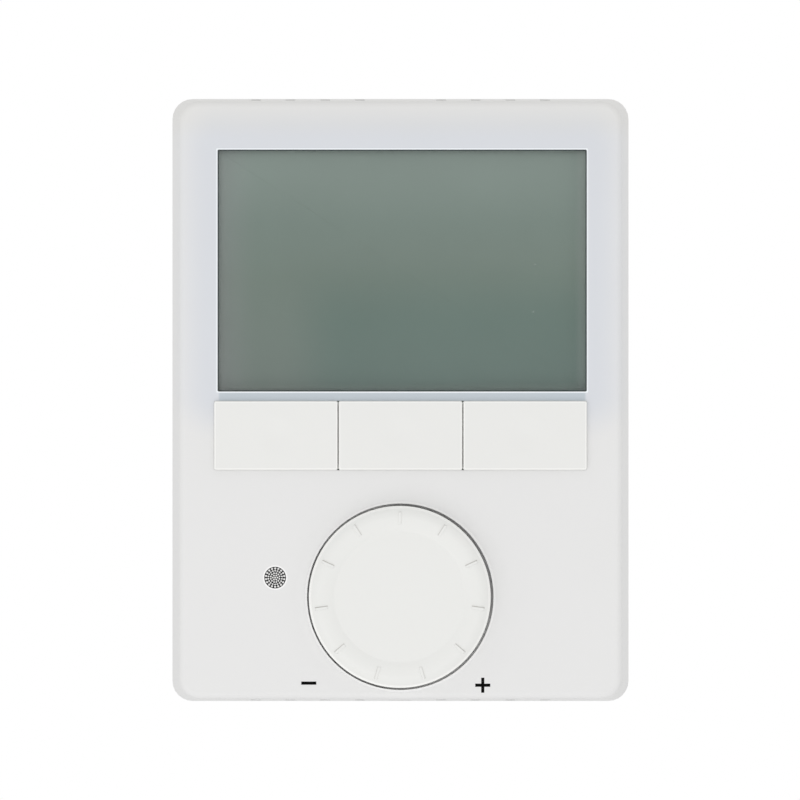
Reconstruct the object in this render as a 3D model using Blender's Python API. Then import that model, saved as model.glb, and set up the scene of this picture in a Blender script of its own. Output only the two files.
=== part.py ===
"""Wall thermostat: a front unit with a display, three buttons and a dial, hooked on a wall plate.

Frame: X runs to the right and Z up.  The wall is the plane y = 0, and the front looks towards -Y.
Every "depth" below is a distance from the wall, so a point at depth d lies at y = -d.
All sizes are in metres.
"""
from math import cos, pi, radians, sin, tau

import bmesh
import bpy
from mathutils import Matrix, Vector

# Housing: overall size, walls and edges
WIDTH = 0.0950
HEIGHT = 0.1254
FACE_DEPTH = 0.0260
RIM_DEPTH = 0.0015
SIDE_DRAFT = 0.0018
END_DRAFT = 0.0010
CORNER_RADIUS = 0.0042
EDGE_RADIUS = 0.0012
WALL = 0.0018
FRONT_WALL = 0.0020

# Clearances that fits are worked out from
GAP = 0.0003
PRESS_GAP = 0.0006
SLIDE_GAP = 0.0004
BITE = 0.0005
OVERCUT = 0.0010

# Display
PANEL_X = 0.00035
DISPLAY_WIDTH = 0.0763
DISPLAY_HEIGHT = 0.0500
DISPLAY_TOP_MARGIN = 0.01095
DISPLAY_CORNER = 0.0003
WINDOW_LEDGE = 0.0009
WINDOW_LIP = 0.0010
WINDOW_THICKNESS = 0.0010
LENS_GAP = 0.0003
LENS_DROP = 0.0004
LENS_CORNER = 0.0002
GLASS_THICKNESS = 0.0019
GLASS_OVERLAP = 0.0004
LIGHT_GUIDE_INSET = 0.0005
FRAME_WALL = 0.0018
STRIP_HEIGHT = 0.0024
STRIP_INSET = 0.0045

# Buttons
BUTTON_WIDTH = 0.02545
BUTTON_HEIGHT = 0.01415
BUTTON_CORNER = 0.0004
BUTTON_PROUD = 0.0010
BUTTON_DROP = 0.00201
BUTTON_WALL = 0.0015
FLANGE_REACH = 0.0006
FLANGE_THICKNESS = 0.0013
DIMPLE_RADIUS = 0.0040
DIMPLE_DEPTH = 0.0002
DIMPLE_SLOPE = 0.0012
SWITCH_SIDE = 0.0060
SWITCH_HEIGHT = 0.0029
PLUNGER_RADIUS = 0.00175
PLUNGER_LENGTH = 0.0021

# Dial
KNOB_RADIUS = 0.01875
KNOB_GAP = 0.00055
KNOB_X = -0.00015
HOLE_SHIFT = 0.00015
KNOB_FLOOR_GAP = 0.0007
KNOB_CREST = 0.0310
KNOB_DISC_DROP = 0.0010
KNOB_EDGE_DROP = 0.0019
KNOB_ROLL = 0.00245
KNOB_RISE = 0.00275
KNOB_WALL = 0.0020
KNOB_HUB_RADIUS = 0.0052
KNOB_TIP = 0.00005
FACE_BELOW_KNOB = 0.00175
RIDGES = 11
RIDGE_WIDTH = 0.0005
RIDGE_LENGTH = 0.0027
RIDGE_PROUD = 0.00015
WELL_DEPTH = 0.0025
WELL_WALL = 0.0012
SHAFT_RADIUS = 0.0030
SHAFT_REACH = 0.0041
ENCODER_SIDE = 0.0120
ENCODER_FLOOR = 0.0008

# Air inlet of the room sensor
GRILLE_X = -0.0259
GRILLE_Z = -0.0367
GRILLE_RADIUS = 0.00225
GRILLE_RECESS = 0.0003
GRILLE_FLANGE = 0.0009
GRILLE_RINGS = ((1, 0.0, 0.0), (6, 0.00051, 0.0), (12, 0.00095, 15.0), (18, 0.00150, 10.0))
GRILLE_HOLE = 0.00017
MEMBRANE_THICKNESS = 0.0004
BEAD_RADIUS = 0.0012

# Boards and what stands on them
BOARD_THICKNESS = 0.0016
MAIN_BOARD_FRONT = 0.0180
MAIN_BOARD_EDGE = 0.0007
POWER_BOARD_BACK = 0.0052
POWER_BOARD_BOTTOM = 0.0080
POWER_BOARD_MARGIN = 0.0016
COVER_FLOOR = 0.0032
COVER_WALL = 0.0012
COVER_BELOW_HOOK = 0.0008
COVER_REACH = 0.0052
COVER_SIDE = 0.0030
COVER_TAB = 0.0080
BOARD_SCREW_INSET_X = 0.0085
BOARD_SCREW_INSET_Z = 0.0059
BOSS_RADIUS = 0.0026
SCREW_RADIUS = 0.00105
SCREW_HEAD_RADIUS = 0.0024
SCREW_HEAD_HEIGHT = 0.0014
SCREW_BITE = 0.0040

# Wall plate
PLATE_THICKNESS = 0.0022
PLATE_CLEARANCE = 0.0005
PLATE_TOP_DROP = 0.0024
SLOT_WIDTH = 0.0038
SLOT_LENGTH = 0.0080
SLOT_SINK = 0.0011
SLOT_SINK_WIDTH = 0.0074
BOX_PITCH = 0.0600
CORNER_SLOT_X = 0.0090
CORNER_SLOT_Z = 0.0110
WIRE_WINDOW_WIDTH = 0.0440
WIRE_WINDOW_HEIGHT = 0.0260
WIRE_WINDOW_TOP = -0.0120

# Hooks at the top that the housing hangs and swings on
HOOK_DEPTH = 0.0046
HOOK_DROP = 0.0013
HOOK_X = 0.0250
HOOK_WIDTH = 0.0090
HOOK_NOSE = 0.0011
HOOK_NECK = 0.0012
HOOK_FOOT = 0.0018
HOOK_ROOM = 0.0020
HOOK_PLAY = 0.0003
SOCKET_WALL = 0.0009
SOCKET_MARGIN = 0.0015

# Lock screw at the bottom
LOCK_DEPTH = 0.0080
LOCK_RADIUS = 0.0012
LOCK_HEAD_RADIUS = 0.0022
LOCK_HEAD_HEIGHT = 0.0006
LOCK_TIP = 0.0013
LOCK_BOSS = 0.0004
TAB_WIDTH = 0.0080
TAB_THICKNESS = 0.0018
TAB_LIFT = 0.0016
TAB_PAST = 0.0020

# Terminals
TERMINAL_BOTTOM = 0.0057
TERMINAL_HEIGHT = 0.0120
TERMINAL_DEPTH = 0.0140
MAINS_POLES = 4
MAINS_PITCH = 0.0070
MAINS_X = -0.0220
SIGNAL_POLES = 3
SIGNAL_PITCH = 0.0055
SIGNAL_X = 0.0220
TERMINAL_SCREW_RADIUS = 0.0017
TERMINAL_SCREW_LENGTH = 0.0050
TERMINAL_SCREW_UP = 0.0085
DRIVER_SLOT = 0.00057
PORT_WIDTH = 0.0032
PORT_DEPTH = 0.0036
PORT_LENGTH = 0.0080
PIN_UP = 0.0025
PIN_SIDE = 0.00064
SOCKET_SIDE = 0.0019
SOCKET_LENGTH = 0.0036
HEADER_HEIGHT = 0.0050
HEADER_THICKNESS = 0.0015
PIN_BITE = 0.0030

# Parts that stand on the power board, as width, height and depth
RELAY_SIZE = (0.0150, 0.0180, 0.0085)
TRANSFORMER_SIZE = (0.0180, 0.0160, 0.0085)
CAPACITOR_RADIUS = 0.0040
CAPACITOR_LENGTH = 0.0084
FUSE_RADIUS = 0.0026
FUSE_LENGTH = 0.0200
CHIP_SIZE = (0.0120, 0.0120, 0.0014)
LINK_SIZE = (0.0200, 0.0050)
LINK_X = 0.0150

# Air slots in the top and bottom walls
VENTS = 8
VENT_PITCH = 0.0072
VENT_WIDTH = 0.0020
VENT_LENGTH = 0.0080
VENT_DEPTH = 0.0120

# Smoothness of round shapes, in steps
CORNER_STEPS = 6
EDGE_STEPS = 4
FINE_STEPS = 72
ROUND_STEPS = 24
SMALL_STEPS = 12
DRILL_STEPS = 6
BEAD_RINGS = 8
SMOOTH_ANGLE = radians(35)

# Places worked out from the sizes above
FACE_BACK = FACE_DEPTH - FRONT_WALL
DISPLAY_Z = HEIGHT / 2 - DISPLAY_TOP_MARGIN - DISPLAY_HEIGHT / 2
DISPLAY_BOTTOM = DISPLAY_Z - DISPLAY_HEIGHT / 2
WINDOW_FRONT = FACE_DEPTH - WINDOW_LIP - GAP
WINDOW_BACK = WINDOW_FRONT - WINDOW_THICKNESS
GLASS_FRONT = WINDOW_BACK - GAP
GLASS_BACK = GLASS_FRONT - GLASS_THICKNESS
MAIN_BOARD_BACK = MAIN_BOARD_FRONT - BOARD_THICKNESS
ON_MAIN_BOARD = MAIN_BOARD_FRONT + GAP
BUTTON_TOP = DISPLAY_BOTTOM - BUTTON_DROP
BUTTON_Z = BUTTON_TOP - BUTTON_HEIGHT / 2
BUTTON_FRONT = FACE_DEPTH + BUTTON_PROUD
FLANGE_FRONT = FACE_BACK - SLIDE_GAP
BUTTON_BACK = FLANGE_FRONT - FLANGE_THICKNESS
KNOB_CREST_RADIUS = KNOB_RADIUS - KNOB_ROLL
KNOB_DISC_RADIUS = KNOB_CREST_RADIUS - KNOB_RISE
HOLE_RADIUS = KNOB_RADIUS + KNOB_GAP
KNOB_Z = -HEIGHT / 2 + END_DRAFT + FACE_BELOW_KNOB + HOLE_RADIUS
WELL_FLOOR = FACE_DEPTH - WELL_DEPTH
WELL_BACK = WELL_FLOOR - WELL_WALL
KNOB_BACK = WELL_FLOOR + KNOB_FLOOR_GAP
POWER_BOARD_FRONT = POWER_BOARD_BACK + BOARD_THICKNESS
ON_POWER_BOARD = POWER_BOARD_FRONT + GAP
PLATE_WIDTH = WIDTH - 2 * (WALL + PLATE_CLEARANCE)
HOOK_Z = HEIGHT / 2 - WALL - HOOK_DROP
FOOT_LOW = HOOK_Z - HOOK_ROOM - HOOK_FOOT
PLATE_TOP = HEIGHT / 2 - WALL - PLATE_TOP_DROP
PLATE_BOTTOM = -HEIGHT / 2 + WALL + PLATE_CLEARANCE
SOCKET_RADIUS = HOOK_NOSE + HOOK_PLAY
TERMINAL_BACK = PLATE_THICKNESS + GAP
TERMINAL_LOW = -HEIGHT / 2 + TERMINAL_BOTTOM
TERMINAL_TOP = TERMINAL_LOW + TERMINAL_HEIGHT
PIN_Z = TERMINAL_LOW + PIN_UP
COVER_LOW = POWER_BOARD_BOTTOM - COVER_WALL - GAP
COVER_HIGH = FOOT_LOW - COVER_BELOW_HOOK


# ---------------------------------------------------------------- shape helpers

def circle(radius, steps, x=0.0, z=0.0, turn=0.0):
    """Points of a circle in a plane parallel to the wall."""
    return [
        (x + radius * cos(turn + tau * step / steps), z + radius * sin(turn + tau * step / steps))
        for step in range(steps)
    ]


def rounded(width, height, radius, x=0.0, z=0.0, steps=CORNER_STEPS):
    """Points of a rectangle with round corners, centred on (x, z)."""
    points = []
    for quarter, (side, end) in enumerate(((1, 1), (-1, 1), (-1, -1), (1, -1))):
        centre_x = x + side * (width / 2 - radius)
        centre_z = z + end * (height / 2 - radius)
        for step in range(steps + 1):
            angle = pi / 2 * (quarter + step / steps)
            points.append((centre_x + radius * cos(angle), centre_z + radius * sin(angle)))
    return points


def rectangle(width, height, x=0.0, z=0.0):
    """Corners of a rectangle centred on (x, z)."""
    half, tall = width / 2, height / 2
    return [(x + half, z + tall), (x - half, z + tall), (x - half, z - tall), (x + half, z - tall)]


def loft(rings, closed=False):
    """A solid through rings of (points, depth).  A closed one joins its last ring to its first."""
    mesh = bmesh.new()
    loops = [[mesh.verts.new((x, -depth, z)) for x, z in points] for points, depth in rings]
    pairs = list(zip(loops, loops[1:]))
    if closed:
        pairs.append((loops[-1], loops[0]))
    else:
        mesh.faces.new(loops[0])
        mesh.faces.new(loops[-1])
    for first, second in pairs:
        for here in range(len(first)):
            after = (here + 1) % len(first)
            mesh.faces.new((first[here], first[after], second[after], second[here]))
    bmesh.ops.recalc_face_normals(mesh, faces=mesh.faces)
    return mesh


def slab(points, back, front):
    """An outline pushed straight out from one depth to another."""
    return loft([(points, back), (points, front)])


def box(low_x, high_x, back, front, low_z, high_z):
    """A block between two depths."""
    width, height = high_x - low_x, high_z - low_z
    return slab(rectangle(width, height, low_x + width / 2, low_z + height / 2), back, front)


def rod(radius, length, centre, along, steps=ROUND_STEPS):
    """A round bar of one radius, centred on a point and running along an axis."""
    mesh = bmesh.new()
    turn = Vector((0, 0, 1)).rotation_difference(Vector(along)).to_matrix().to_4x4()
    place = Matrix.Translation(centre) @ turn
    bmesh.ops.create_cone(
        mesh, cap_ends=True, segments=steps, radius1=radius, radius2=radius, depth=length, matrix=place
    )
    return mesh


def joined(meshes):
    """One mesh that holds several separate solids, for a cutter with many teeth."""
    whole = bmesh.new()
    for mesh in meshes:
        part = bpy.data.meshes.new("tooth")
        mesh.to_mesh(part)
        mesh.free()
        whole.from_mesh(part)
        bpy.data.meshes.remove(part)
    return whole


# ---------------------------------------------------------------- object helpers

def material(name, colour, roughness, metallic=0.0):
    """A plain Principled material."""
    made = bpy.data.materials.new(name)
    made.use_nodes = True
    shader = made.node_tree.nodes["Principled BSDF"]
    shader.inputs["Base Color"].default_value = (*colour, 1.0)
    shader.inputs["Roughness"].default_value = roughness
    shader.inputs["Metallic"].default_value = metallic
    made.diffuse_color = (*colour, 1.0)
    return made


def place(name, mesh, origin, skin=None):
    """An object whose own origin is at a chosen point of the shared frame."""
    bmesh.ops.translate(mesh, vec=-Vector(origin), verts=mesh.verts)
    data = bpy.data.meshes.new(name)
    mesh.to_mesh(data)
    mesh.free()
    data.shade_smooth()
    data.set_sharp_from_angle(angle=SMOOTH_ANGLE)
    made = bpy.data.objects.new(name, data)
    made.location = origin
    if skin:
        data.materials.append(skin)
    bpy.context.scene.collection.objects.link(made)
    return made


def combine(target, operation, meshes):
    """Adds or cuts shapes with one Boolean modifier each."""
    for number, mesh in enumerate(meshes, start=len(target.modifiers)):
        tool = place(f"{target.name}_tool_{number}", mesh, target.location)
        tool.hide_render = True
        tool.display_type = "WIRE"
        modifier = target.modifiers.new(tool.name, "BOOLEAN")
        modifier.operation = operation
        modifier.solver = "EXACT"
        modifier.object = tool


def add(target, *meshes):
    """Joins shapes to an object."""
    combine(target, "UNION", meshes)


def cut(target, *meshes):
    """Takes shapes out of an object."""
    combine(target, "DIFFERENCE", meshes)


def carry(name, origin, pieces):
    """Parents pieces, and the cutters they own, to an empty on their joint's axis."""
    holder = bpy.data.objects.new(name, None)
    holder.location = origin
    bpy.context.scene.collection.objects.link(holder)
    for piece in pieces:
        tools = [modifier.object for modifier in piece.modifiers if modifier.type == "BOOLEAN"]
        for child in [piece, *tools]:
            child.parent = holder
            child.location = child.location - holder.location


# ---------------------------------------------------------------- materials

def skins():
    """Every material, by the name of what it is."""
    return {
        "housing": material("housing", (0.80, 0.81, 0.80), 0.55),
        "button": material("button", (0.84, 0.84, 0.83), 0.50),
        "dial": material("dial", (0.84, 0.85, 0.84), 0.50),
        "plate": material("plate", (0.76, 0.77, 0.76), 0.60),
        "window": material("window", (0.60, 0.66, 0.63), 0.08),
        "glass": material("glass", (0.24, 0.29, 0.26), 0.20),
        "light_guide": material("light_guide", (0.75, 0.80, 0.78), 0.45),
        "black": material("black", (0.03, 0.03, 0.03), 0.50),
        "membrane": material("membrane", (0.85, 0.85, 0.83), 0.80),
        "board": material("board", (0.03, 0.22, 0.10), 0.40),
        "terminal": material("terminal", (0.45, 0.48, 0.50), 0.55),
        "steel": material("steel", (0.60, 0.60, 0.60), 0.35, 1.0),
        "gold": material("gold", (0.80, 0.60, 0.25), 0.30, 1.0),
        "aluminium": material("aluminium", (0.75, 0.75, 0.77), 0.35, 1.0),
        "relay": material("relay", (0.05, 0.12, 0.30), 0.40),
        "ferrite": material("ferrite", (0.10, 0.10, 0.11), 0.60),
        "fuse": material("fuse", (0.70, 0.66, 0.55), 0.45),
        "elastomer": material("elastomer", (0.55, 0.30, 0.38), 0.70),
    }


# ---------------------------------------------------------------- wall plate

def slot_places():
    """Centres of the fixing slots: two over the wall box's screws and one near each corner."""
    corner_x = PLATE_WIDTH / 2 - CORNER_SLOT_X
    heights = (PLATE_TOP - CORNER_SLOT_Z, PLATE_BOTTOM + CORNER_SLOT_Z + TERMINAL_HEIGHT)
    corners = [(side * corner_x, z) for side in (-1, 1) for z in heights]
    return [(-BOX_PITCH / 2, 0.0), (BOX_PITCH / 2, 0.0), *corners]


def slot_cutters():
    """Fixing slots along X, and the shallow sinks around them for the screws' heads."""
    past = PLATE_THICKNESS + OVERCUT
    sink_length = SLOT_LENGTH + SLOT_SINK_WIDTH - SLOT_WIDTH
    slots, sinks = [], []
    for x, z in slot_places():
        slots.append(slab(rounded(SLOT_LENGTH, SLOT_WIDTH, SLOT_WIDTH / 2 - GAP, x, z), -OVERCUT, past))
        sink = rounded(sink_length, SLOT_SINK_WIDTH, SLOT_SINK_WIDTH / 2 - GAP, x, z)
        sinks.append(slab(sink, PLATE_THICKNESS - SLOT_SINK, past))
    return joined(slots), joined(sinks)


def hook_shapes(x):
    """One hook: a foot on the plate, a neck going up from it and a round nose on the neck."""
    low = x - HOOK_WIDTH / 2
    high = x + HOOK_WIDTH / 2
    neck_front = HOOK_DEPTH + HOOK_NECK / 2
    neck_back = HOOK_DEPTH - HOOK_NECK / 2
    foot = box(low, high, PLATE_THICKNESS - BITE, neck_front, FOOT_LOW, FOOT_LOW + HOOK_FOOT)
    neck = box(low, high, neck_back, neck_front, FOOT_LOW + HOOK_FOOT / 2, HOOK_Z)
    nose = rod(HOOK_NOSE, HOOK_WIDTH, (x, -HOOK_DEPTH, HOOK_Z), (1, 0, 0), SMALL_STEPS)
    return [foot, neck, nose]


def make_plate(skin):
    """Injection-moulded plate that is screwed over the wall box."""
    centre_z = (PLATE_TOP + PLATE_BOTTOM) / 2
    outline = rounded(PLATE_WIDTH, PLATE_TOP - PLATE_BOTTOM, CORNER_RADIUS - WALL, 0, centre_z)
    plate = place("mounting_plate", slab(outline, 0, PLATE_THICKNESS), (0, 0, 0), skin["plate"])
    for side in (-1, 1):
        add(plate, *hook_shapes(side * HOOK_X))
    tab_low = -HEIGHT / 2 + WALL + TAB_LIFT
    tab_front = LOCK_DEPTH + TAB_PAST
    tab_top = tab_low + TAB_THICKNESS
    add(plate, box(-TAB_WIDTH / 2, TAB_WIDTH / 2, PLATE_THICKNESS - BITE, tab_front, tab_low, tab_top))
    tab_hole = (0, -LOCK_DEPTH, tab_low + TAB_THICKNESS / 2)
    cut(plate, rod(LOCK_RADIUS + GAP, TAB_THICKNESS + 2 * OVERCUT, tab_hole, (0, 0, 1), SMALL_STEPS))
    window_z = WIRE_WINDOW_TOP - WIRE_WINDOW_HEIGHT / 2
    window = rounded(WIRE_WINDOW_WIDTH, WIRE_WINDOW_HEIGHT, CORNER_RADIUS, 0, window_z)
    cut(plate, slab(window, -OVERCUT, PLATE_THICKNESS + OVERCUT))
    cut(plate, *slot_cutters())
    return [plate]


# ---------------------------------------------------------------- terminals

def pole_places(poles, pitch, centre):
    """The X of each pole of a terminal block."""
    return [centre + (pole - (poles - 1) / 2) * pitch for pole in range(poles)]


def make_terminal_block(name, poles, pitch, centre, skin):
    """Screw terminals with wire ports on top and plug sockets in front."""
    half = poles * pitch / 2
    body = box(centre - half, centre + half, TERMINAL_BACK, TERMINAL_DEPTH, TERMINAL_LOW, TERMINAL_TOP)
    block = place(name, body, (centre, -TERMINAL_BACK, TERMINAL_LOW), skin["terminal"])
    port_middle = (TERMINAL_BACK + TERMINAL_DEPTH - TERMINAL_SCREW_LENGTH) / 2
    port_back = port_middle - PORT_DEPTH / 2
    ports, sockets, wells = [], [], []
    for x in pole_places(poles, pitch, centre):
        left = x - PORT_WIDTH / 2
        port = (left, left + PORT_WIDTH, port_back, port_back + PORT_DEPTH)
        ports.append(box(*port, TERMINAL_TOP - PORT_LENGTH, TERMINAL_TOP + OVERCUT))
        mouth = rectangle(SOCKET_SIDE, SOCKET_SIDE, x, PIN_Z)
        sockets.append(slab(mouth, TERMINAL_DEPTH - SOCKET_LENGTH, TERMINAL_DEPTH + OVERCUT))
        round_hole = circle(TERMINAL_SCREW_RADIUS + GAP, SMALL_STEPS, x, TERMINAL_LOW + TERMINAL_SCREW_UP)
        wells.append(slab(round_hole, port_middle, TERMINAL_DEPTH + OVERCUT))
    cut(block, joined(ports), joined(sockets), joined(wells))
    return block


def make_terminal_screws(skin):
    """Clamping screws of both blocks, each with a driver slot."""
    places = pole_places(MAINS_POLES, MAINS_PITCH, MAINS_X)
    places += pole_places(SIGNAL_POLES, SIGNAL_PITCH, SIGNAL_X)
    z = TERMINAL_LOW + TERMINAL_SCREW_UP
    front = TERMINAL_DEPTH - PRESS_GAP
    slot = (TERMINAL_SCREW_RADIUS + OVERCUT) * 2
    made = []
    for number, x in enumerate(places, start=1):
        outline = circle(TERMINAL_SCREW_RADIUS, SMALL_STEPS, x, z)
        shape = slab(outline, front - TERMINAL_SCREW_LENGTH, front)
        screw = place(f"terminal_screw_{number}", shape, (x, -front, z), skin["steel"])
        cut(screw, slab(rectangle(slot, DRIVER_SLOT, x, z), front - PRESS_GAP, front + OVERCUT))
        made.append(screw)
    return made


# ---------------------------------------------------------------- front housing

def housing_outline(depth, inset):
    """The housing's outline at a depth, drawn in by the draft and by an inset."""
    share = (depth - RIM_DEPTH) / (FACE_DEPTH - RIM_DEPTH)
    width = WIDTH - 2 * (SIDE_DRAFT * share + inset)
    height = HEIGHT - 2 * (END_DRAFT * share + inset)
    return rounded(width, height, max(CORNER_RADIUS - inset, EDGE_RADIUS))


def housing_shell():
    """Open shell: the front face, its rounded edge, the outer walls, the rim and the inner walls."""
    rings = []
    for step in range(EDGE_STEPS, -1, -1):
        angle = pi / 2 * step / EDGE_STEPS
        depth = FACE_DEPTH - EDGE_RADIUS * (1 - sin(angle))
        rings.append((housing_outline(depth, EDGE_RADIUS * (1 - cos(angle))), depth))
    rings.append((housing_outline(RIM_DEPTH, 0), RIM_DEPTH))
    rings.append((housing_outline(RIM_DEPTH, WALL), RIM_DEPTH))
    rings.append((housing_outline(FACE_BACK, WALL), FACE_BACK))
    return loft(rings)


def board_screw_places():
    """The X and Z of the four screws that hold the main board."""
    x = WIDTH / 2 - BOARD_SCREW_INSET_X
    z = HEIGHT / 2 - BOARD_SCREW_INSET_Z
    return [(x, z), (-x, z), (-x, -z), (x, -z)]


def add_hook_sockets(housing):
    """Blocks under the top wall that wrap over and behind the noses of the hooks."""
    back = HOOK_DEPTH - SOCKET_RADIUS - SOCKET_WALL
    front = HOOK_DEPTH + SOCKET_RADIUS + SOCKET_WALL
    for side in (-1, 1):
        x = side * HOOK_X
        half = HOOK_WIDTH / 2 + SOCKET_MARGIN
        add(housing, box(x - half, x + half, back, front, HOOK_Z - HOOK_PLAY, HEIGHT / 2 - WALL / 2))
    for side in (-1, 1):
        centre = (side * HOOK_X, -HOOK_DEPTH, HOOK_Z)
        cut(housing, rod(SOCKET_RADIUS, HOOK_WIDTH + 2 * (SOCKET_MARGIN + OVERCUT), centre, (1, 0, 0)))


def vent_cutters(end):
    """Air slots through the top wall (end 1) or the bottom wall (end -1), none in the middle."""
    teeth = []
    for number in range(1, VENTS // 2 + 1):
        for side in (-1, 1):
            x = side * (number * VENT_PITCH + HOOK_NECK)
            inner, outer = sorted((end * (HEIGHT / 2 - 2 * WALL), end * (HEIGHT / 2 + OVERCUT)))
            teeth.append(box(x - VENT_WIDTH / 2, x + VENT_WIDTH / 2, VENT_DEPTH - VENT_LENGTH / 2,
                             VENT_DEPTH + VENT_LENGTH / 2, inner, outer))
    return joined(teeth)


def button_span():
    """Width of the three buttons side by side."""
    return 3 * BUTTON_WIDTH + 2 * GAP


def make_housing(skin):
    """Moulded front housing with its bosses, wells and openings."""
    housing = place("front_housing", housing_shell(), (0, -HOOK_DEPTH, HOOK_Z), skin["housing"])
    well = circle(HOLE_RADIUS + WELL_WALL, FINE_STEPS, KNOB_X + HOLE_SHIFT, KNOB_Z)
    add(housing, slab(well, WELL_BACK, FACE_BACK + BITE))
    for x, z in board_screw_places():
        add(housing, slab(circle(BOSS_RADIUS, ROUND_STEPS, x, z), ON_MAIN_BOARD, FACE_BACK + BITE))
    add_hook_sockets(housing)
    lock_half = LOCK_HEAD_RADIUS + WALL
    boss_low = -HEIGHT / 2 + WALL / 2
    boss_high = -HEIGHT / 2 + END_DRAFT + WALL + LOCK_BOSS - GAP
    boss_back, boss_front = LOCK_DEPTH - lock_half, LOCK_DEPTH + lock_half
    add(housing, box(-lock_half, lock_half, boss_back, boss_front, boss_low, boss_high))

    past = FACE_DEPTH + OVERCUT
    opening = rounded(DISPLAY_WIDTH, DISPLAY_HEIGHT, DISPLAY_CORNER, PANEL_X, DISPLAY_Z)
    cut(housing, slab(opening, FACE_BACK - OVERCUT, past))
    ledge = 2 * WINDOW_LEDGE
    rebate = rounded(DISPLAY_WIDTH + ledge, DISPLAY_HEIGHT + ledge, DISPLAY_CORNER, PANEL_X, DISPLAY_Z)
    cut(housing, slab(rebate, FACE_BACK - OVERCUT, FACE_DEPTH - WINDOW_LIP))
    play = 2 * GAP
    mouth = rounded(button_span() + play, BUTTON_HEIGHT + play, BUTTON_CORNER, 0, BUTTON_Z)
    cut(housing, slab(mouth, FACE_BACK - OVERCUT, past))
    hole = circle(HOLE_RADIUS, FINE_STEPS, KNOB_X + HOLE_SHIFT, KNOB_Z)
    cut(housing, slab(hole, WELL_FLOOR, past))
    shaft_hole = circle(SHAFT_RADIUS + OVERCUT, ROUND_STEPS, KNOB_X, KNOB_Z)
    cut(housing, slab(shaft_hole, WELL_BACK - OVERCUT, past))
    cut(housing, slab(circle(GRILLE_RADIUS, ROUND_STEPS, GRILLE_X, GRILLE_Z), FACE_BACK - OVERCUT, past))
    for x, z in board_screw_places():
        reach = MAIN_BOARD_BACK + SCREW_BITE + BOARD_THICKNESS + 2 * GAP
        cut(housing, slab(circle(SCREW_RADIUS + GAP, SMALL_STEPS, x, z), ON_MAIN_BOARD - OVERCUT, reach))
    centre = (0, -LOCK_DEPTH, -HEIGHT / 2)
    cut(housing, rod(LOCK_RADIUS + GAP, 4 * WALL, centre, (0, 0, 1), SMALL_STEPS))
    sink_depth = LOCK_HEAD_HEIGHT + 2 * GAP + GAP / 2
    cut(housing, rod(LOCK_HEAD_RADIUS + GAP, 2 * sink_depth, centre, (0, 0, 1)))
    cut(housing, vent_cutters(1), vent_cutters(-1))
    return housing


# ---------------------------------------------------------------- display

def make_display(skin):
    """Stepped clear window, liquid-crystal cell, light guide, its frame and the contact strip."""
    hold = 2 * (WINDOW_LEDGE - GAP)
    pane = rounded(DISPLAY_WIDTH + hold, DISPLAY_HEIGHT + hold, DISPLAY_CORNER, PANEL_X, DISPLAY_Z)
    free = 2 * LENS_GAP
    lens = rounded(DISPLAY_WIDTH - free, DISPLAY_HEIGHT - free, LENS_CORNER, PANEL_X, DISPLAY_Z)
    step = [(pane, WINDOW_BACK), (pane, WINDOW_FRONT), (lens, WINDOW_FRONT), (lens, FACE_DEPTH - LENS_DROP)]
    window = place("display_window", loft(step), (PANEL_X, -WINDOW_BACK, DISPLAY_Z), skin["window"])

    past = 2 * GLASS_OVERLAP
    cell = rectangle(DISPLAY_WIDTH + past, DISPLAY_HEIGHT + past, PANEL_X, DISPLAY_Z)
    centre = (PANEL_X, -GLASS_BACK, DISPLAY_Z)
    glass = place("lcd_glass", slab(cell, GLASS_BACK, GLASS_FRONT), centre, skin["glass"])

    inner_width = DISPLAY_WIDTH - 2 * LIGHT_GUIDE_INSET
    inner_height = DISPLAY_HEIGHT - 2 * LIGHT_GUIDE_INSET
    frame_front = GLASS_BACK - GAP
    wall = 2 * FRAME_WALL
    outer_ring = rectangle(inner_width + wall, inner_height + wall, PANEL_X, DISPLAY_Z)
    inner_ring = rectangle(inner_width, inner_height, PANEL_X, DISPLAY_Z)
    outer_wall = [(outer_ring, ON_MAIN_BOARD), (outer_ring, frame_front)]
    inner_wall = [(inner_ring, frame_front), (inner_ring, ON_MAIN_BOARD)]
    ring = loft(outer_wall + inner_wall, closed=True)
    centre = (PANEL_X, -ON_MAIN_BOARD, DISPLAY_Z)
    frame = place("lcd_frame", ring, centre, skin["black"])

    top = DISPLAY_Z + inner_height / 2 - GAP
    strip_low = top - STRIP_HEIGHT
    half = inner_width / 2 - STRIP_INSET
    shape = box(PANEL_X - half, PANEL_X + half, ON_MAIN_BOARD, frame_front, strip_low, top)
    strip = place("lcd_contact_strip", shape, (PANEL_X, -ON_MAIN_BOARD, top), skin["elastomer"])

    half = inner_width / 2 - GAP
    low = DISPLAY_Z - inner_height / 2 + GAP
    shape = box(PANEL_X - half, PANEL_X + half, ON_MAIN_BOARD, frame_front, low, strip_low - GAP)
    guide = place("lcd_backlight", shape, (PANEL_X, -ON_MAIN_BOARD, DISPLAY_Z), skin["light_guide"])
    return [window, glass, frame, strip, guide]


# ---------------------------------------------------------------- buttons

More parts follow.
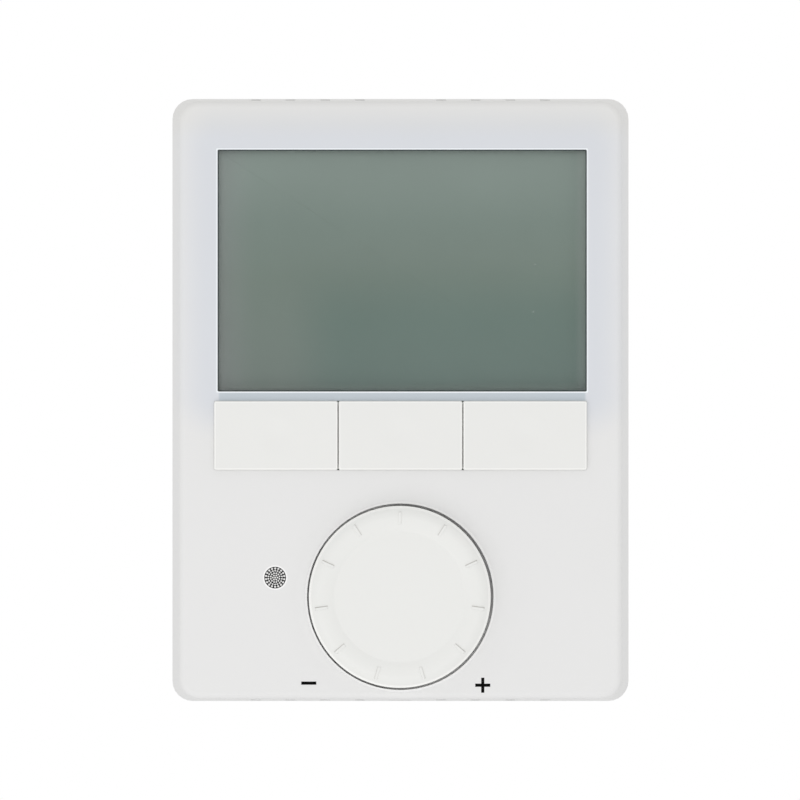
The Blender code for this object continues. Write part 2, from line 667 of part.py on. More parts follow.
def make_button(name, x, skin):
    """Key cap with a retaining flange, a hollow back, a post over the switch and a finger dimple."""
    outline = rounded(BUTTON_WIDTH, BUTTON_HEIGHT, BUTTON_CORNER, x, BUTTON_Z)
    edge = BUTTON_CORNER / 2
    crown = rounded(BUTTON_WIDTH - 2 * edge, BUTTON_HEIGHT - 2 * edge, BUTTON_CORNER - edge / 2, x, BUTTON_Z)
    body = loft([(outline, BUTTON_BACK), (outline, BUTTON_FRONT - edge), (crown, BUTTON_FRONT)])
    cap = place(name, body, (x, -BUTTON_BACK, BUTTON_Z), skin["button"])
    flange = rectangle(BUTTON_WIDTH - BITE, BUTTON_HEIGHT + 2 * FLANGE_REACH, x, BUTTON_Z)
    add(cap, slab(flange, BUTTON_BACK, FLANGE_FRONT))
    wall = 2 * BUTTON_WALL
    hollow = rectangle(BUTTON_WIDTH - wall, BUTTON_HEIGHT - wall, x, BUTTON_Z)
    cut(cap, slab(hollow, BUTTON_BACK - OVERCUT, BUTTON_FRONT - BUTTON_WALL))
    post = circle(PLUNGER_RADIUS, ROUND_STEPS, x, BUTTON_Z)
    add(cap, slab(post, BUTTON_BACK, BUTTON_FRONT - BUTTON_WALL + BITE))
    dish = [(circle(DIMPLE_RADIUS - DIMPLE_SLOPE, ROUND_STEPS, x, BUTTON_Z), BUTTON_FRONT - DIMPLE_DEPTH),
            (circle(DIMPLE_RADIUS + DIMPLE_SLOPE, ROUND_STEPS, x, BUTTON_Z), BUTTON_FRONT + DIMPLE_DEPTH)]
    cut(cap, loft(dish))
    return cap


def make_switch(name, x, skin):
    """Push switch on the main board: a square body with a round well for its plunger."""
    front = ON_MAIN_BOARD + SWITCH_HEIGHT
    shape = slab(rectangle(SWITCH_SIDE, SWITCH_SIDE, x, BUTTON_Z), ON_MAIN_BOARD, front)
    body = place(name, shape, (x, -ON_MAIN_BOARD, BUTTON_Z), skin["black"])
    floor = front - PLUNGER_LENGTH - GAP / 2
    well = circle(PLUNGER_RADIUS + GAP, ROUND_STEPS, x, BUTTON_Z)
    cut(body, slab(well, floor, front + OVERCUT))
    return body


def make_plunger(name, x, skin):
    """The piece that the key cap pushes into the switch."""
    front = BUTTON_BACK - GAP
    shape = slab(circle(PLUNGER_RADIUS, ROUND_STEPS, x, BUTTON_Z), front - PLUNGER_LENGTH, front)
    return place(name, shape, (x, -front, BUTTON_Z), skin["membrane"])


# ---------------------------------------------------------------- dial

def knob_profile():
    """Half section of the dial, from its middle out over the face and back under the skirt."""
    disc = KNOB_CREST - KNOB_DISC_DROP
    edge = KNOB_CREST - KNOB_EDGE_DROP
    face = [(KNOB_TIP, disc), (KNOB_DISC_RADIUS, disc)]
    shares = [step / EDGE_STEPS for step in range(1, EDGE_STEPS + 1)]
    for share in shares:
        lift = KNOB_DISC_DROP * (1 - cos(pi * share)) / 2
        face.append((KNOB_DISC_RADIUS + KNOB_RISE * share, disc + lift))
    for share in shares:
        face.append((KNOB_CREST_RADIUS + KNOB_ROLL * share, KNOB_CREST - KNOB_EDGE_DROP * share ** 2))
    inner = KNOB_RADIUS - KNOB_WALL
    under = edge - KNOB_WALL
    skirt = [(KNOB_RADIUS, KNOB_BACK), (inner, KNOB_BACK), (inner, under), (KNOB_HUB_RADIUS, under),
             (KNOB_HUB_RADIUS, KNOB_BACK)]
    return face + skirt


def make_knob(skin):
    """Dial with a flat middle, a rounded raised rim, finger ridges on it and a hub for the shaft."""
    rings = [(circle(radius, FINE_STEPS, KNOB_X, KNOB_Z), depth) for radius, depth in knob_profile()]
    knob = place("knob", loft(rings), (KNOB_X, -KNOB_BACK, KNOB_Z), skin["dial"])
    for number in range(RIDGES):
        angle = pi / 2 + tau * number / RIDGES
        bar = box(-RIDGE_LENGTH / 2, RIDGE_LENGTH / 2, KNOB_CREST - KNOB_DISC_DROP, KNOB_CREST + RIDGE_PROUD,
                  -RIDGE_WIDTH / 2, RIDGE_WIDTH / 2)
        turn = Matrix.Rotation(-angle, 4, "Y")
        across, up = KNOB_CREST_RADIUS * cos(angle), KNOB_CREST_RADIUS * sin(angle)
        middle = Vector((KNOB_X + across, 0, KNOB_Z + up))
        bmesh.ops.transform(bar, matrix=Matrix.Translation(middle) @ turn, verts=bar.verts)
        add(knob, bar)
    bore_end = WELL_FLOOR + SHAFT_REACH + GAP
    cut(knob, slab(circle(SHAFT_RADIUS + GAP, ROUND_STEPS, KNOB_X, KNOB_Z), KNOB_BACK - OVERCUT, bore_end))
    return knob


def make_encoder(skin):
    """Rotary encoder: a square body on the main board and the shaft that carries the dial."""
    body_front = WELL_BACK - GAP
    shape = slab(rectangle(ENCODER_SIDE, ENCODER_SIDE, KNOB_X, KNOB_Z), ON_MAIN_BOARD, body_front)
    body = place("encoder_body", shape, (KNOB_X, -ON_MAIN_BOARD, KNOB_Z), skin["steel"])
    floor = ON_MAIN_BOARD + ENCODER_FLOOR
    bore = circle(SHAFT_RADIUS + GAP, ROUND_STEPS, KNOB_X, KNOB_Z)
    cut(body, slab(bore, floor, body_front + OVERCUT))
    shape = slab(circle(SHAFT_RADIUS, ROUND_STEPS, KNOB_X, KNOB_Z), floor + GAP, WELL_FLOOR + SHAFT_REACH)
    shaft = place("encoder_shaft", shape, (KNOB_X, -floor, KNOB_Z), skin["aluminium"])
    return body, shaft


# ---------------------------------------------------------------- room sensor

def make_sensor(skin):
    """Perforated inlet cap, the dust membrane behind it and the bead that measures the air."""
    front = FACE_DEPTH - GRILLE_RECESS
    back = FACE_BACK - GAP
    stem = circle(GRILLE_RADIUS - GAP, ROUND_STEPS, GRILLE_X, GRILLE_Z)
    flange = circle(GRILLE_RADIUS + GRILLE_FLANGE, ROUND_STEPS, GRILLE_X, GRILLE_Z)
    body = loft([(flange, back - GRILLE_FLANGE), (flange, back), (stem, back), (stem, front)])
    grille = place("sensor_grille", body, (GRILLE_X, -back, GRILLE_Z), skin["black"])
    drills = []
    for count, radius, start in GRILLE_RINGS:
        for number in range(count):
            angle = radians(start) + tau * number / count
            x = GRILLE_X + radius * cos(angle)
            z = GRILLE_Z + radius * sin(angle)
            drill = circle(GRILLE_HOLE, DRILL_STEPS, x, z)
            drills.append(slab(drill, back - GRILLE_FLANGE - OVERCUT, front + OVERCUT))
    cut(grille, joined(drills))

    sheet_front = back - GRILLE_FLANGE - GAP
    sheet = slab(flange, sheet_front - MEMBRANE_THICKNESS, sheet_front)
    membrane = place("vent_membrane", sheet, (GRILLE_X, -sheet_front, GRILLE_Z), skin["membrane"])

    mesh = bmesh.new()
    centre = (GRILLE_X, -(ON_MAIN_BOARD + BEAD_RADIUS), GRILLE_Z)
    shift = Matrix.Translation(centre)
    bmesh.ops.create_uvsphere(
        mesh, u_segments=SMALL_STEPS, v_segments=BEAD_RINGS, radius=BEAD_RADIUS, matrix=shift
    )
    bead = place("temperature_sensor", mesh, centre, skin["black"])
    return [grille, membrane, bead]


# ---------------------------------------------------------------- boards

def make_main_board(skin):
    """Board behind the display, buttons and dial, on four bosses of the housing."""
    depth_outline = housing_outline(MAIN_BOARD_FRONT, WALL + MAIN_BOARD_EDGE)
    shape = slab(depth_outline, MAIN_BOARD_BACK, MAIN_BOARD_FRONT)
    board = place("main_board", shape, (0, -MAIN_BOARD_BACK, 0), skin["board"])
    rounds = [circle(SCREW_RADIUS + GAP, SMALL_STEPS, x, z) for x, z in board_screw_places()]
    back, front = MAIN_BOARD_BACK - OVERCUT, MAIN_BOARD_FRONT + OVERCUT
    cut(board, joined([slab(points, back, front) for points in rounds]))
    return board


def make_board_screws(skin):
    """Pan-head screws through the main board into the bosses."""
    made = []
    seat = MAIN_BOARD_BACK - GAP
    tip = MAIN_BOARD_FRONT + SCREW_BITE
    for number, (x, z) in enumerate(board_screw_places(), start=1):
        head = circle(SCREW_HEAD_RADIUS, ROUND_STEPS, x, z)
        shank = circle(SCREW_RADIUS, ROUND_STEPS, x, z)
        shape = loft([(head, seat - SCREW_HEAD_HEIGHT), (head, seat), (shank, seat), (shank, tip)])
        made.append(place(f"board_screw_{number}", shape, (x, -seat, z), skin["steel"]))
    return made


def power_board_box():
    """Half width, low Z and high Z of the power board."""
    half = WIDTH / 2 - WALL - COVER_SIDE - COVER_WALL - POWER_BOARD_MARGIN
    return half, POWER_BOARD_BOTTOM, COVER_HIGH - COVER_WALL - GAP


def make_power_unit(skin):
    """Mains board, its snap-in rear cover and the parts that stand on the board."""
    half, low, high = power_board_box()
    shape = box(-half, half, POWER_BOARD_BACK, POWER_BOARD_FRONT, low, high)
    board = place("power_board", shape, (0, -POWER_BOARD_BACK, low), skin["board"])

    outer_half = half + GAP + COVER_WALL
    middle = (COVER_LOW + COVER_HIGH) / 2
    tray_front = COVER_FLOOR + COVER_REACH
    outer = rectangle(2 * outer_half, COVER_HIGH - COVER_LOW, 0, middle)
    inner = rectangle(2 * (half + GAP), COVER_HIGH - COVER_LOW - 2 * COVER_WALL, 0, middle)
    floor_front = COVER_FLOOR + COVER_WALL
    tray = loft([(outer, COVER_FLOOR), (outer, tray_front), (inner, tray_front), (inner, floor_front)])
    cover = place("rear_cover", tray, (0, -COVER_FLOOR, middle), skin["plate"])
    tab_root = outer_half - COVER_WALL / 2
    tab_width = WIDTH / 2 - WALL - SIDE_DRAFT - GAP - tab_root
    for side in (-1, 1):
        for end in (-1, 1):
            z = middle + end * (COVER_HIGH - COVER_LOW) / 4
            tab = rectangle(tab_width, COVER_TAB, side * (tab_root + tab_width / 2), z)
            add(cover, slab(tab, tray_front - COVER_WALL, tray_front))
    return [board, cover, *make_power_parts(half, low, high, skin)]


def stand(name, size, x, z, skin):
    """A block of (width, height, depth) that stands on the power board."""
    shape = slab(rectangle(size[0], size[1], x, z), ON_POWER_BOARD, ON_POWER_BOARD + size[2])
    return place(name, shape, (x, -ON_POWER_BOARD, z), skin)


def make_power_parts(half, low, high, skin):
    """Relays, transformer, capacitors, fuse and the link to the main board."""
    made = []
    edge = 2 * OVERCUT
    relay_x = half - edge - RELAY_SIZE[0] / 2
    relay_z = high - edge - RELAY_SIZE[1] / 2
    for number, side in enumerate((-1, 1), start=1):
        made.append(stand(f"relay_{number}", RELAY_SIZE, side * relay_x, relay_z, skin["relay"]))
    made.append(stand("transformer", TRANSFORMER_SIZE, 0, relay_z, skin["ferrite"]))
    row_z = low + edge + CAPACITOR_RADIUS
    for number, side in enumerate((-1, 1), start=1):
        x = side * (half - edge - CAPACITOR_RADIUS)
        outline = circle(CAPACITOR_RADIUS, ROUND_STEPS, x, row_z)
        can = slab(outline, ON_POWER_BOARD, ON_POWER_BOARD + CAPACITOR_LENGTH)
        made.append(place(f"capacitor_{number}", can, (x, -ON_POWER_BOARD, row_z), skin["aluminium"]))
    fuse_x = -half + 3 * edge + 2 * CAPACITOR_RADIUS + FUSE_LENGTH / 2
    centre = (fuse_x, -(ON_POWER_BOARD + FUSE_RADIUS), row_z)
    made.append(place("fuse", rod(FUSE_RADIUS, FUSE_LENGTH, centre, (1, 0, 0)), centre, skin["fuse"]))
    link = slab(rectangle(*LINK_SIZE, LINK_X, row_z), ON_POWER_BOARD, MAIN_BOARD_BACK - GAP)
    made.append(place("board_link", link, (LINK_X, -ON_POWER_BOARD, row_z), skin["black"]))
    chip_back = MAIN_BOARD_BACK - GAP - CHIP_SIZE[2]
    chip_z = BUTTON_Z - CHIP_SIZE[1]
    chip = slab(rectangle(CHIP_SIZE[0], CHIP_SIZE[1], 0, chip_z), chip_back, MAIN_BOARD_BACK - GAP)
    made.append(place("controller_chip", chip, (0, -chip_back, chip_z), skin["black"]))
    return made


def make_plug_header(name, poles, pitch, centre, skin):
    """Pin strip on the back of the main board that plugs into a terminal block."""
    seat = MAIN_BOARD_BACK - GAP
    half = poles * pitch / 2
    low = PIN_Z - HEADER_HEIGHT / 2
    body = box(centre - half, centre + half, seat - HEADER_THICKNESS, seat, low, low + HEADER_HEIGHT)
    header = place(name, body, (centre, -seat, PIN_Z), skin["gold"])
    for x in pole_places(poles, pitch, centre):
        pin = rectangle(PIN_SIDE, PIN_SIDE, x, PIN_Z)
        add(header, slab(pin, TERMINAL_DEPTH - PIN_BITE, seat - HEADER_THICKNESS / 2))
    return header


def make_lock_screw(skin):
    """Captive screw in the bottom wall, turned back so that its tip is clear of the plate's tab."""
    low = -HEIGHT / 2 + GAP + GAP / 2
    shoulder = low + LOCK_HEAD_HEIGHT
    tip = -HEIGHT / 2 + WALL + LOCK_TIP
    head_centre = (0, -LOCK_DEPTH, (low + shoulder) / 2)
    head = rod(LOCK_HEAD_RADIUS, LOCK_HEAD_HEIGHT, head_centre, (0, 0, 1), ROUND_STEPS)
    screw = place("lock_screw", head, (0, -LOCK_DEPTH, low), skin["steel"])
    length = tip - shoulder + LOCK_HEAD_HEIGHT / 2
    add(screw, rod(LOCK_RADIUS, length, (0, -LOCK_DEPTH, tip - length / 2), (0, 0, 1), SMALL_STEPS))
    return screw


# ---------------------------------------------------------------- assembly

def build():
    """Makes every piece and hangs each group on the axis that it moves about."""
    for old in list(bpy.data.objects):
        bpy.data.objects.remove(old)
    skin = skins()

    base = make_plate(skin)
    base.append(make_terminal_block("terminal_block_mains", MAINS_POLES, MAINS_PITCH, MAINS_X, skin))
    base.append(make_terminal_block("terminal_block_signal", SIGNAL_POLES, SIGNAL_PITCH, SIGNAL_X, skin))
    base += make_terminal_screws(skin)

    front = [make_housing(skin), *make_display(skin), *make_sensor(skin), make_main_board(skin)]
    front += make_board_screws(skin) + make_power_unit(skin)
    front.append(make_plug_header("plug_header_mains", MAINS_POLES, MAINS_PITCH, MAINS_X, skin))
    front.append(make_plug_header("plug_header_signal", SIGNAL_POLES, SIGNAL_PITCH, SIGNAL_X, skin))
    front.append(make_lock_screw(skin))

    for number, side in enumerate(("left", "middle", "right")):
        x = (number - 1) * (BUTTON_WIDTH + GAP)
        front.append(make_switch(f"switch_body_{side}", x, skin))
        keys = [make_button(f"button_{side}", x, skin), make_plunger(f"switch_plunger_{side}", x, skin)]
        carry(f"button_axis_{side}", (x, -BUTTON_BACK, BUTTON_Z), keys)

    encoder, shaft = make_encoder(skin)
    front.append(encoder)
    carry("dial_axis", (KNOB_X, -KNOB_BACK, KNOB_Z), [make_knob(skin), shaft])
    carry("hinge_axis", (0, -HOOK_DEPTH, HOOK_Z), front)
    carry("wall_axis", (0, 0, 0), base)


build()
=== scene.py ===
"""Wall thermostat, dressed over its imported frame: sizes in metres, +Z up, the front looks to -Y."""

from math import pi, radians

import bmesh
import bpy
import numpy as np
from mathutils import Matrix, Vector
from mathutils.geometry import delaunay_2d_cdt


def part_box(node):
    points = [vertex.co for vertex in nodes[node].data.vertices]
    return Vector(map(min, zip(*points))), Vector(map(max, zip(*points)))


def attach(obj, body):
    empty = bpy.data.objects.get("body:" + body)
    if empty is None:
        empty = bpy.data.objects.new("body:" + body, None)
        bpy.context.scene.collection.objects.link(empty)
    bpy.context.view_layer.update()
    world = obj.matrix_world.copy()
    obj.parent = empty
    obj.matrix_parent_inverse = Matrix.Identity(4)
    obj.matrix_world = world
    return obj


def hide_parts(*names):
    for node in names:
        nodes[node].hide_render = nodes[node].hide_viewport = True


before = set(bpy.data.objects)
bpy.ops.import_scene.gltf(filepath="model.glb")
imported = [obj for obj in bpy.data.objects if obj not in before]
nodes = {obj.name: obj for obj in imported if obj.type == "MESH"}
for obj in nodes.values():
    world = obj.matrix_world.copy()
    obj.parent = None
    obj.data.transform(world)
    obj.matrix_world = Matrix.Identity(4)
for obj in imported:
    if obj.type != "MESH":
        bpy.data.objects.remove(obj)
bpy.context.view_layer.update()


# ------------------------------------------------------------------------------------------------
# Wall plate.  Injection-moulded ABS, screwed over the wall box; two hooks at the top carry the
# front unit.  Its surface is spark-eroded in the mould, so it has a fine even grain.

melt_flow = 45.0


def add_node(tree, kind, values=(), **settings):
    """A shader node.  Values are (socket, number or linked socket) pairs; settings are its fields."""
    made = tree.nodes.new(kind)
    for field, value in settings.items():
        setattr(made, field, value)
    for socket, value in values:
        if isinstance(value, bpy.types.NodeSocket):
            tree.links.new(value, made.inputs[socket])
        else:
            made.inputs[socket].default_value = value
    return made


def surface_place(tree):
    """Where a point of the surface is, in the piece's own metres."""
    return add_node(tree, "ShaderNodeTexCoord").outputs["Object"]


def sum_of(tree, operation, *values):
    """The result of one arithmetic operation on numbers or sockets."""
    return add_node(tree, "ShaderNodeMath", list(enumerate(values)), operation=operation).outputs[0]


def scaled(tree, colour, factor):
    """A colour made lighter or darker by a factor."""
    values = [("Vector", colour), ("Scale", factor)]
    return add_node(tree, "ShaderNodeVectorMath", values, operation="SCALE").outputs[0]


def new_group(name, inputs, outputs):
    """An empty shader group with named sockets; returns its tree, its inputs and its outputs."""
    tree = bpy.data.node_groups.new(name, "ShaderNodeTree")
    for socket, kind, value in inputs:
        tree.interface.new_socket(socket, in_out="INPUT", socket_type=kind).default_value = value
    for socket, kind in outputs:
        tree.interface.new_socket(socket, in_out="OUTPUT", socket_type=kind)
    inner = tree.nodes.new("NodeGroupInput").outputs
    outer = tree.nodes.new("NodeGroupOutput").inputs
    return tree, inner, outer


def make_mould_grain():
    """Moulded plastic: slow shade changes from the melt's flow, a fine pitted height, mixed gloss."""
    tree, inner, outer = new_group(
        "mould_grain",
        [("Colour", "NodeSocketColor", (0.8, 0.8, 0.8, 1)), ("Shade Change", "NodeSocketFloat", 0.02),
         ("Grain Size", "NodeSocketFloat", 0.00015), ("Gloss", "NodeSocketFloat", 0.5),
         ("Gloss Change", "NodeSocketFloat", 0.05)],
        [("Colour", "NodeSocketColor"), ("Roughness", "NodeSocketFloat"), ("Height", "NodeSocketFloat")],
    )
    place = surface_place(tree)
    flow = add_node(tree, "ShaderNodeTexNoise", [("Vector", place), ("Scale", melt_flow), ("Detail", 3.0)])
    per_metre = sum_of(tree, "DIVIDE", 1.0, inner["Grain Size"])
    pits = add_node(tree, "ShaderNodeTexNoise", [("Vector", place), ("Scale", per_metre), ("Detail", 2.0)])
    centred = sum_of(tree, "SUBTRACT", flow.outputs["Fac"], 0.5)
    change = sum_of(tree, "MULTIPLY_ADD", centred, inner["Shade Change"], 1.0)
    gloss = sum_of(tree, "MULTIPLY_ADD", centred, inner["Gloss Change"], inner["Gloss"])
    tree.links.new(scaled(tree, inner["Colour"], change), outer["Colour"])
    tree.links.new(gloss, outer["Roughness"])
    tree.links.new(pits.outputs["Fac"], outer["Height"])
    return tree


mould_grain = make_mould_grain()


def new_material(name):
    """A material with one Principled shader; returns it, its tree and the shader's inputs."""
    made = bpy.data.materials.new(name)
    made.use_nodes = True
    return made, made.node_tree, made.node_tree.nodes["Principled BSDF"].inputs


def grain_laid(tree, shader, colour, gloss, shade_change, grain, gloss_change, pit):
    """Lays the grain's gloss and bump on a shader; returns the colour with its slow shade changes."""
    group = add_node(
        tree, "ShaderNodeGroup",
        [("Colour", colour), ("Shade Change", shade_change), ("Grain Size", grain), ("Gloss", gloss),
         ("Gloss Change", gloss_change)],
        node_tree=mould_grain,
    )
    bump = add_node(tree, "ShaderNodeBump", [("Height", group.outputs["Height"]), ("Distance", pit)])
    tree.links.new(group.outputs["Roughness"], shader["Roughness"])
    tree.links.new(bump.outputs["Normal"], shader["Normal"])
    return group.outputs["Colour"]


def grained(name, colour, gloss, shade_change=0.02, grain=0.00015, pit=0.000004):
    """Moulded plastic of one colour; pit is the depth of the grain in metres."""
    made, tree, shader = new_material(name)
    shaded = grain_laid(tree, shader, (*colour, 1), gloss, shade_change, grain, 0.08, pit)
    tree.links.new(shaded, shader["Base Color"])
    return made


def dress(material, *names):
    """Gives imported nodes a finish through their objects' material slots."""
    for name in names:
        for slot in nodes[name].material_slots:
            slot.material = material


def all_named(start):
    """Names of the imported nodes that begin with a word, in order."""
    return sorted(name for name in nodes if name.startswith(start))


dress(grained("plate_abs", (0.74, 0.75, 0.74), gloss=0.55, grain=0.0003, pit=0.000012), "mounting_plate")


# ------------------------------------------------------------------------------------------------
# Terminal blocks and their screws.  Grey glass-filled nylon blocks stand on the plate; the screws
# are zinc-plated steel with a driver slot, and keep fine streaks from the drawn wire.

nylon_grey = (0.36, 0.40, 0.42)
streak_size = 0.0004
streak_depth = 0.000003
streak_shade = (0.86, 1.06)
streak_gloss = (-0.08, 0.12)


def ranged(tree, value, low, high):
    """A value from 0 to 1 spread between two limits."""
    limits = [("Value", value), ("To Min", low), ("To Max", high)]
    return add_node(tree, "ShaderNodeMapRange", limits).outputs[0]


def plated(name, colour, gloss, streak=(1, 1, 1)):
    """Plated or drawn metal: fine streaks, long along the axes where streak is small."""
    made, tree, shader = new_material(name)
    along = add_node(tree, "ShaderNodeMapping", [("Vector", surface_place(tree)), ("Scale", streak)])
    streaks = add_node(
        tree, "ShaderNodeTexNoise",
        [("Vector", along.outputs[0]), ("Scale", 1 / streak_size), ("Detail", 4.0), ("Roughness", 0.65)],
    ).outputs["Fac"]
    bump = add_node(tree, "ShaderNodeBump", [("Height", streaks), ("Distance", streak_depth)])
    tree.links.new(scaled(tree, colour, ranged(tree, streaks, *streak_shade)), shader["Base Color"])
    rough = ranged(tree, streaks, gloss + streak_gloss[0], gloss + streak_gloss[1])
    tree.links.new(rough, shader["Roughness"])
    tree.links.new(bump.outputs["Normal"], shader["Normal"])
    shader["Metallic"].default_value = 1.0
    return made


terminal_nylon = grained(
    "terminal_nylon", nylon_grey, gloss=0.5, shade_change=0.10, grain=0.0004, pit=0.00002
)
dress(terminal_nylon, *all_named("terminal_block"))
zinc = plated("zinc_plate", (0.62, 0.62, 0.60), gloss=0.32, streak=(1, 0.15, 1))
dress(zinc, *all_named("terminal_screw"), *all_named("board_screw"), "lock_screw")


# ------------------------------------------------------------------------------------------------
# Rear cover and mains board.  A grey snap-in tray holds a green glass-epoxy board; relays, a taped
# transformer, two electrolytic cans and a ceramic fuse stand on it.  They show when it swings open.

track_height = 0.00003
tracks_per_cell = 3.0
track_from, track_to = 0.24, 0.28


def mixed(tree, factor, first, second, blend="MIX"):
    """A colour mixed from two, each a colour or a socket; 6 and 7 are the node's colour inputs."""
    made = add_node(tree, "ShaderNodeMix", data_type="RGBA", blend_type=blend)
    for number, value in ((0, factor), (6, first), (7, second)):
        if isinstance(value, bpy.types.NodeSocket):
            tree.links.new(value, made.inputs[number])
        else:
            made.inputs[number].default_value = value
    return made.outputs[2]


def flat_place(tree):
    """Where a point of the surface is, with its depth left out."""
    flattened = [("Vector", surface_place(tree)), ("Scale", (1, 0, 1))]
    return add_node(tree, "ShaderNodeMapping", flattened).outputs[0]


def make_solder_mask():
    """Lacquered circuit board: copper tracks run in nested square loops, each raised by a soft step."""
    tree, inner, outer = new_group(
        "solder_mask",
        [("Board", "NodeSocketColor", (0.02, 0.15, 0.06, 1)),
         ("Track", "NodeSocketColor", (0.05, 0.27, 0.12, 1)), ("Raster", "NodeSocketFloat", 0.0026)],
        [("Colour", "NodeSocketColor"), ("Height", "NodeSocketFloat")],
    )
    per_metre = sum_of(tree, "DIVIDE", 1.0, inner["Raster"])
    cells = add_node(
        tree, "ShaderNodeTexVoronoi",
        [("Vector", flat_place(tree)), ("Scale", per_metre), ("Randomness", 0.85)],
        feature="F1", distance="MANHATTAN",
    )
    steps = sum_of(tree, "MULTIPLY", cells.outputs["Distance"], tracks_per_cell)
    track = add_node(
        tree, "ShaderNodeMapRange",
        [("Value", sum_of(tree, "PINGPONG", steps, 0.5)), ("From Min", track_from), ("From Max", track_to)],
        interpolation_type="SMOOTHSTEP",
    ).outputs[0]
    tree.links.new(mixed(tree, track, inner["Board"], inner["Track"]), outer["Colour"])
    tree.links.new(track, outer["Height"])
    return tree


solder_mask = make_solder_mask()


def lacquered_board(name, raster):
    """Green board with raised tracks under a glossy lacquer."""
    made, tree, shader = new_material(name)
    mask = add_node(tree, "ShaderNodeGroup", [("Raster", raster)], node_tree=solder_mask)
    bump = add_node(tree, "ShaderNodeBump", [("Height", mask.outputs["Height"]), ("Distance", track_height)])
    tree.links.new(mask.outputs["Colour"], shader["Base Color"])
    tree.links.new(bump.outputs["Normal"], shader["Normal"])
    shader["Roughness"].default_value = 0.28
    return made


dress(grained("cover_abs", (0.50, 0.51, 0.52), gloss=0.55, grain=0.0003, pit=0.000012), "rear_cover")
dress(lacquered_board("mains_board_lacquer", raster=0.0046), "power_board")
relay_blue = grained("relay_case", (0.03, 0.09, 0.26), gloss=0.38, shade_change=0.15, grain=0.0005)
dress(relay_blue, *all_named("relay"))
winding_tape = grained(
    "winding_tape", (0.55, 0.40, 0.06), gloss=0.35, shade_change=0.25, grain=0.002, pit=0.00004
)
dress(winding_tape, "transformer")
dress(plated("can_aluminium", (0.75, 0.75, 0.77), gloss=0.30, streak=(1, 0.2, 1)), *all_named("capacitor"))
dress(grained("fuse_ceramic", (0.66, 0.62, 0.50), gloss=0.40, shade_change=0.12, grain=0.0008), "fuse")
black_nylon = grained("black_nylon", (0.022, 0.022, 0.023), gloss=0.45, shade_change=0.3, grain=0.0003)
dress(black_nylon, "board_link")


# ------------------------------------------------------------------------------------------------
# Main board.  Four screws hold it to bosses behind the face; it carries the switches, the encoder,
# the sensor bead, the controller chip and, on its back, the pin strips that plug into the plate.

dress(lacquered_board("main_board_lacquer", raster=0.0030), "main_board")
chip_epoxy = grained("chip_epoxy", (0.018, 0.018, 0.020), gloss=0.55, shade_change=0.3, grain=0.0001)
dress(chip_epoxy, "controller_chip")
dress(black_nylon, *all_named("plug_header"), *all_named("switch_body"))
dress(plated("encoder_steel", (0.58, 0.58, 0.58), gloss=0.36), "encoder_body")
dress(plated("shaft_aluminium", (0.72, 0.72, 0.74), gloss=0.30, streak=(1, 0.1, 1)), "encoder_shaft")
dress(grained("sensor_epoxy", (0.03, 0.03, 0.035), gloss=0.25, shade_change=0.2), "temperature_sensor")
dress(grained("plunger_acetal", (0.70, 0.66, 0.56), gloss=0.40), *all_named("switch_plunger"))

solder_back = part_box("main_board")[1][1]
part_rows = np.linspace(-0.040, 0.004, 9)
part_columns = np.linspace(-0.036, 0.036, 13)
chip_long, chip_short, chip_thick = 0.0020, 0.0012, 0.0006
cap_long, cap_short, cap_thick = 0.0014, 0.0006, 0.0007
cap_shift = 0.0010
encoder_clear = 0.010


def blocks(name, centres, sizes):
    """Many small blocks in one mesh: each corner is its block's centre plus half its size by sign."""
    signs = np.array([[x, y, z] for z in (-1, 1) for y in (-1, 1) for x in (-1, 1)], float)
    corners = centres[:, None, :] + signs[None, :, :] * sizes[:, None, :] / 2
    sides = np.array([[0, 2, 3, 1], [4, 5, 7, 6], [0, 1, 5, 4], [2, 6, 7, 3], [0, 4, 6, 2], [1, 3, 7, 5]])
    faces = (sides[None] + 8 * np.arange(len(centres))[:, None, None]).reshape(-1, 4)
    mesh = bpy.data.meshes.new(name)
    mesh.from_pydata(corners.reshape(-1, 3).tolist(), [], faces.tolist())
    piece = bpy.data.objects.new(name, mesh)
    bpy.context.scene.collection.objects.link(piece)
    return piece


def chip_parts():
    """Chip resistors in rows on the back of the board, every third place empty, some turned."""
    column, row = np.meshgrid(part_columns, part_rows)
    number = np.arange(column.size)
    keep = (number % 3 != 0) & ((abs(column.ravel()) > encoder_clear) | (row.ravel() > -encoder_clear))
    depth = np.full(column.size, solder_back + chip_thick / 2)
    turned = (number % 2 == 0)[keep, None]
    size = np.where(turned, [[chip_short, chip_thick, chip_long]], [[chip_long, chip_thick, chip_short]])
    return np.stack([column.ravel(), depth, row.ravel()], -1)[keep], size, turned


part_places, part_sizes, part_turned = chip_parts()
chip_bodies = blocks("chip_resistors", part_places, part_sizes)
chip_bodies.data.materials.append(grained("chip_ceramic", (0.03, 0.03, 0.03), gloss=0.35, shade_change=0.4))
end_shift = np.where(part_turned, [[0, 0, cap_shift]], [[cap_shift, 0, 0]])
end_places = np.concatenate([part_places - end_shift, part_places + end_shift])
end_size = np.where(part_turned, [[cap_long, cap_thick, cap_short]], [[cap_short, cap_thick, cap_long]])
end_sizes = np.tile(end_size, (2, 1))
chip_ends = blocks("chip_solder_ends", end_places, end_sizes)
chip_ends.data.materials.append(plated("solder_tin", (0.70, 0.70, 0.69), gloss=0.28))
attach(chip_bodies, "housing")
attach(chip_ends, "housing")


# ------------------------------------------------------------------------------------------------
# Display.  A stepped clear window of moulded acrylic sits in the housing's rebate; behind it lie
# the grey-green liquid-crystal cell, its light guide, the carrier frame and the contact strip.

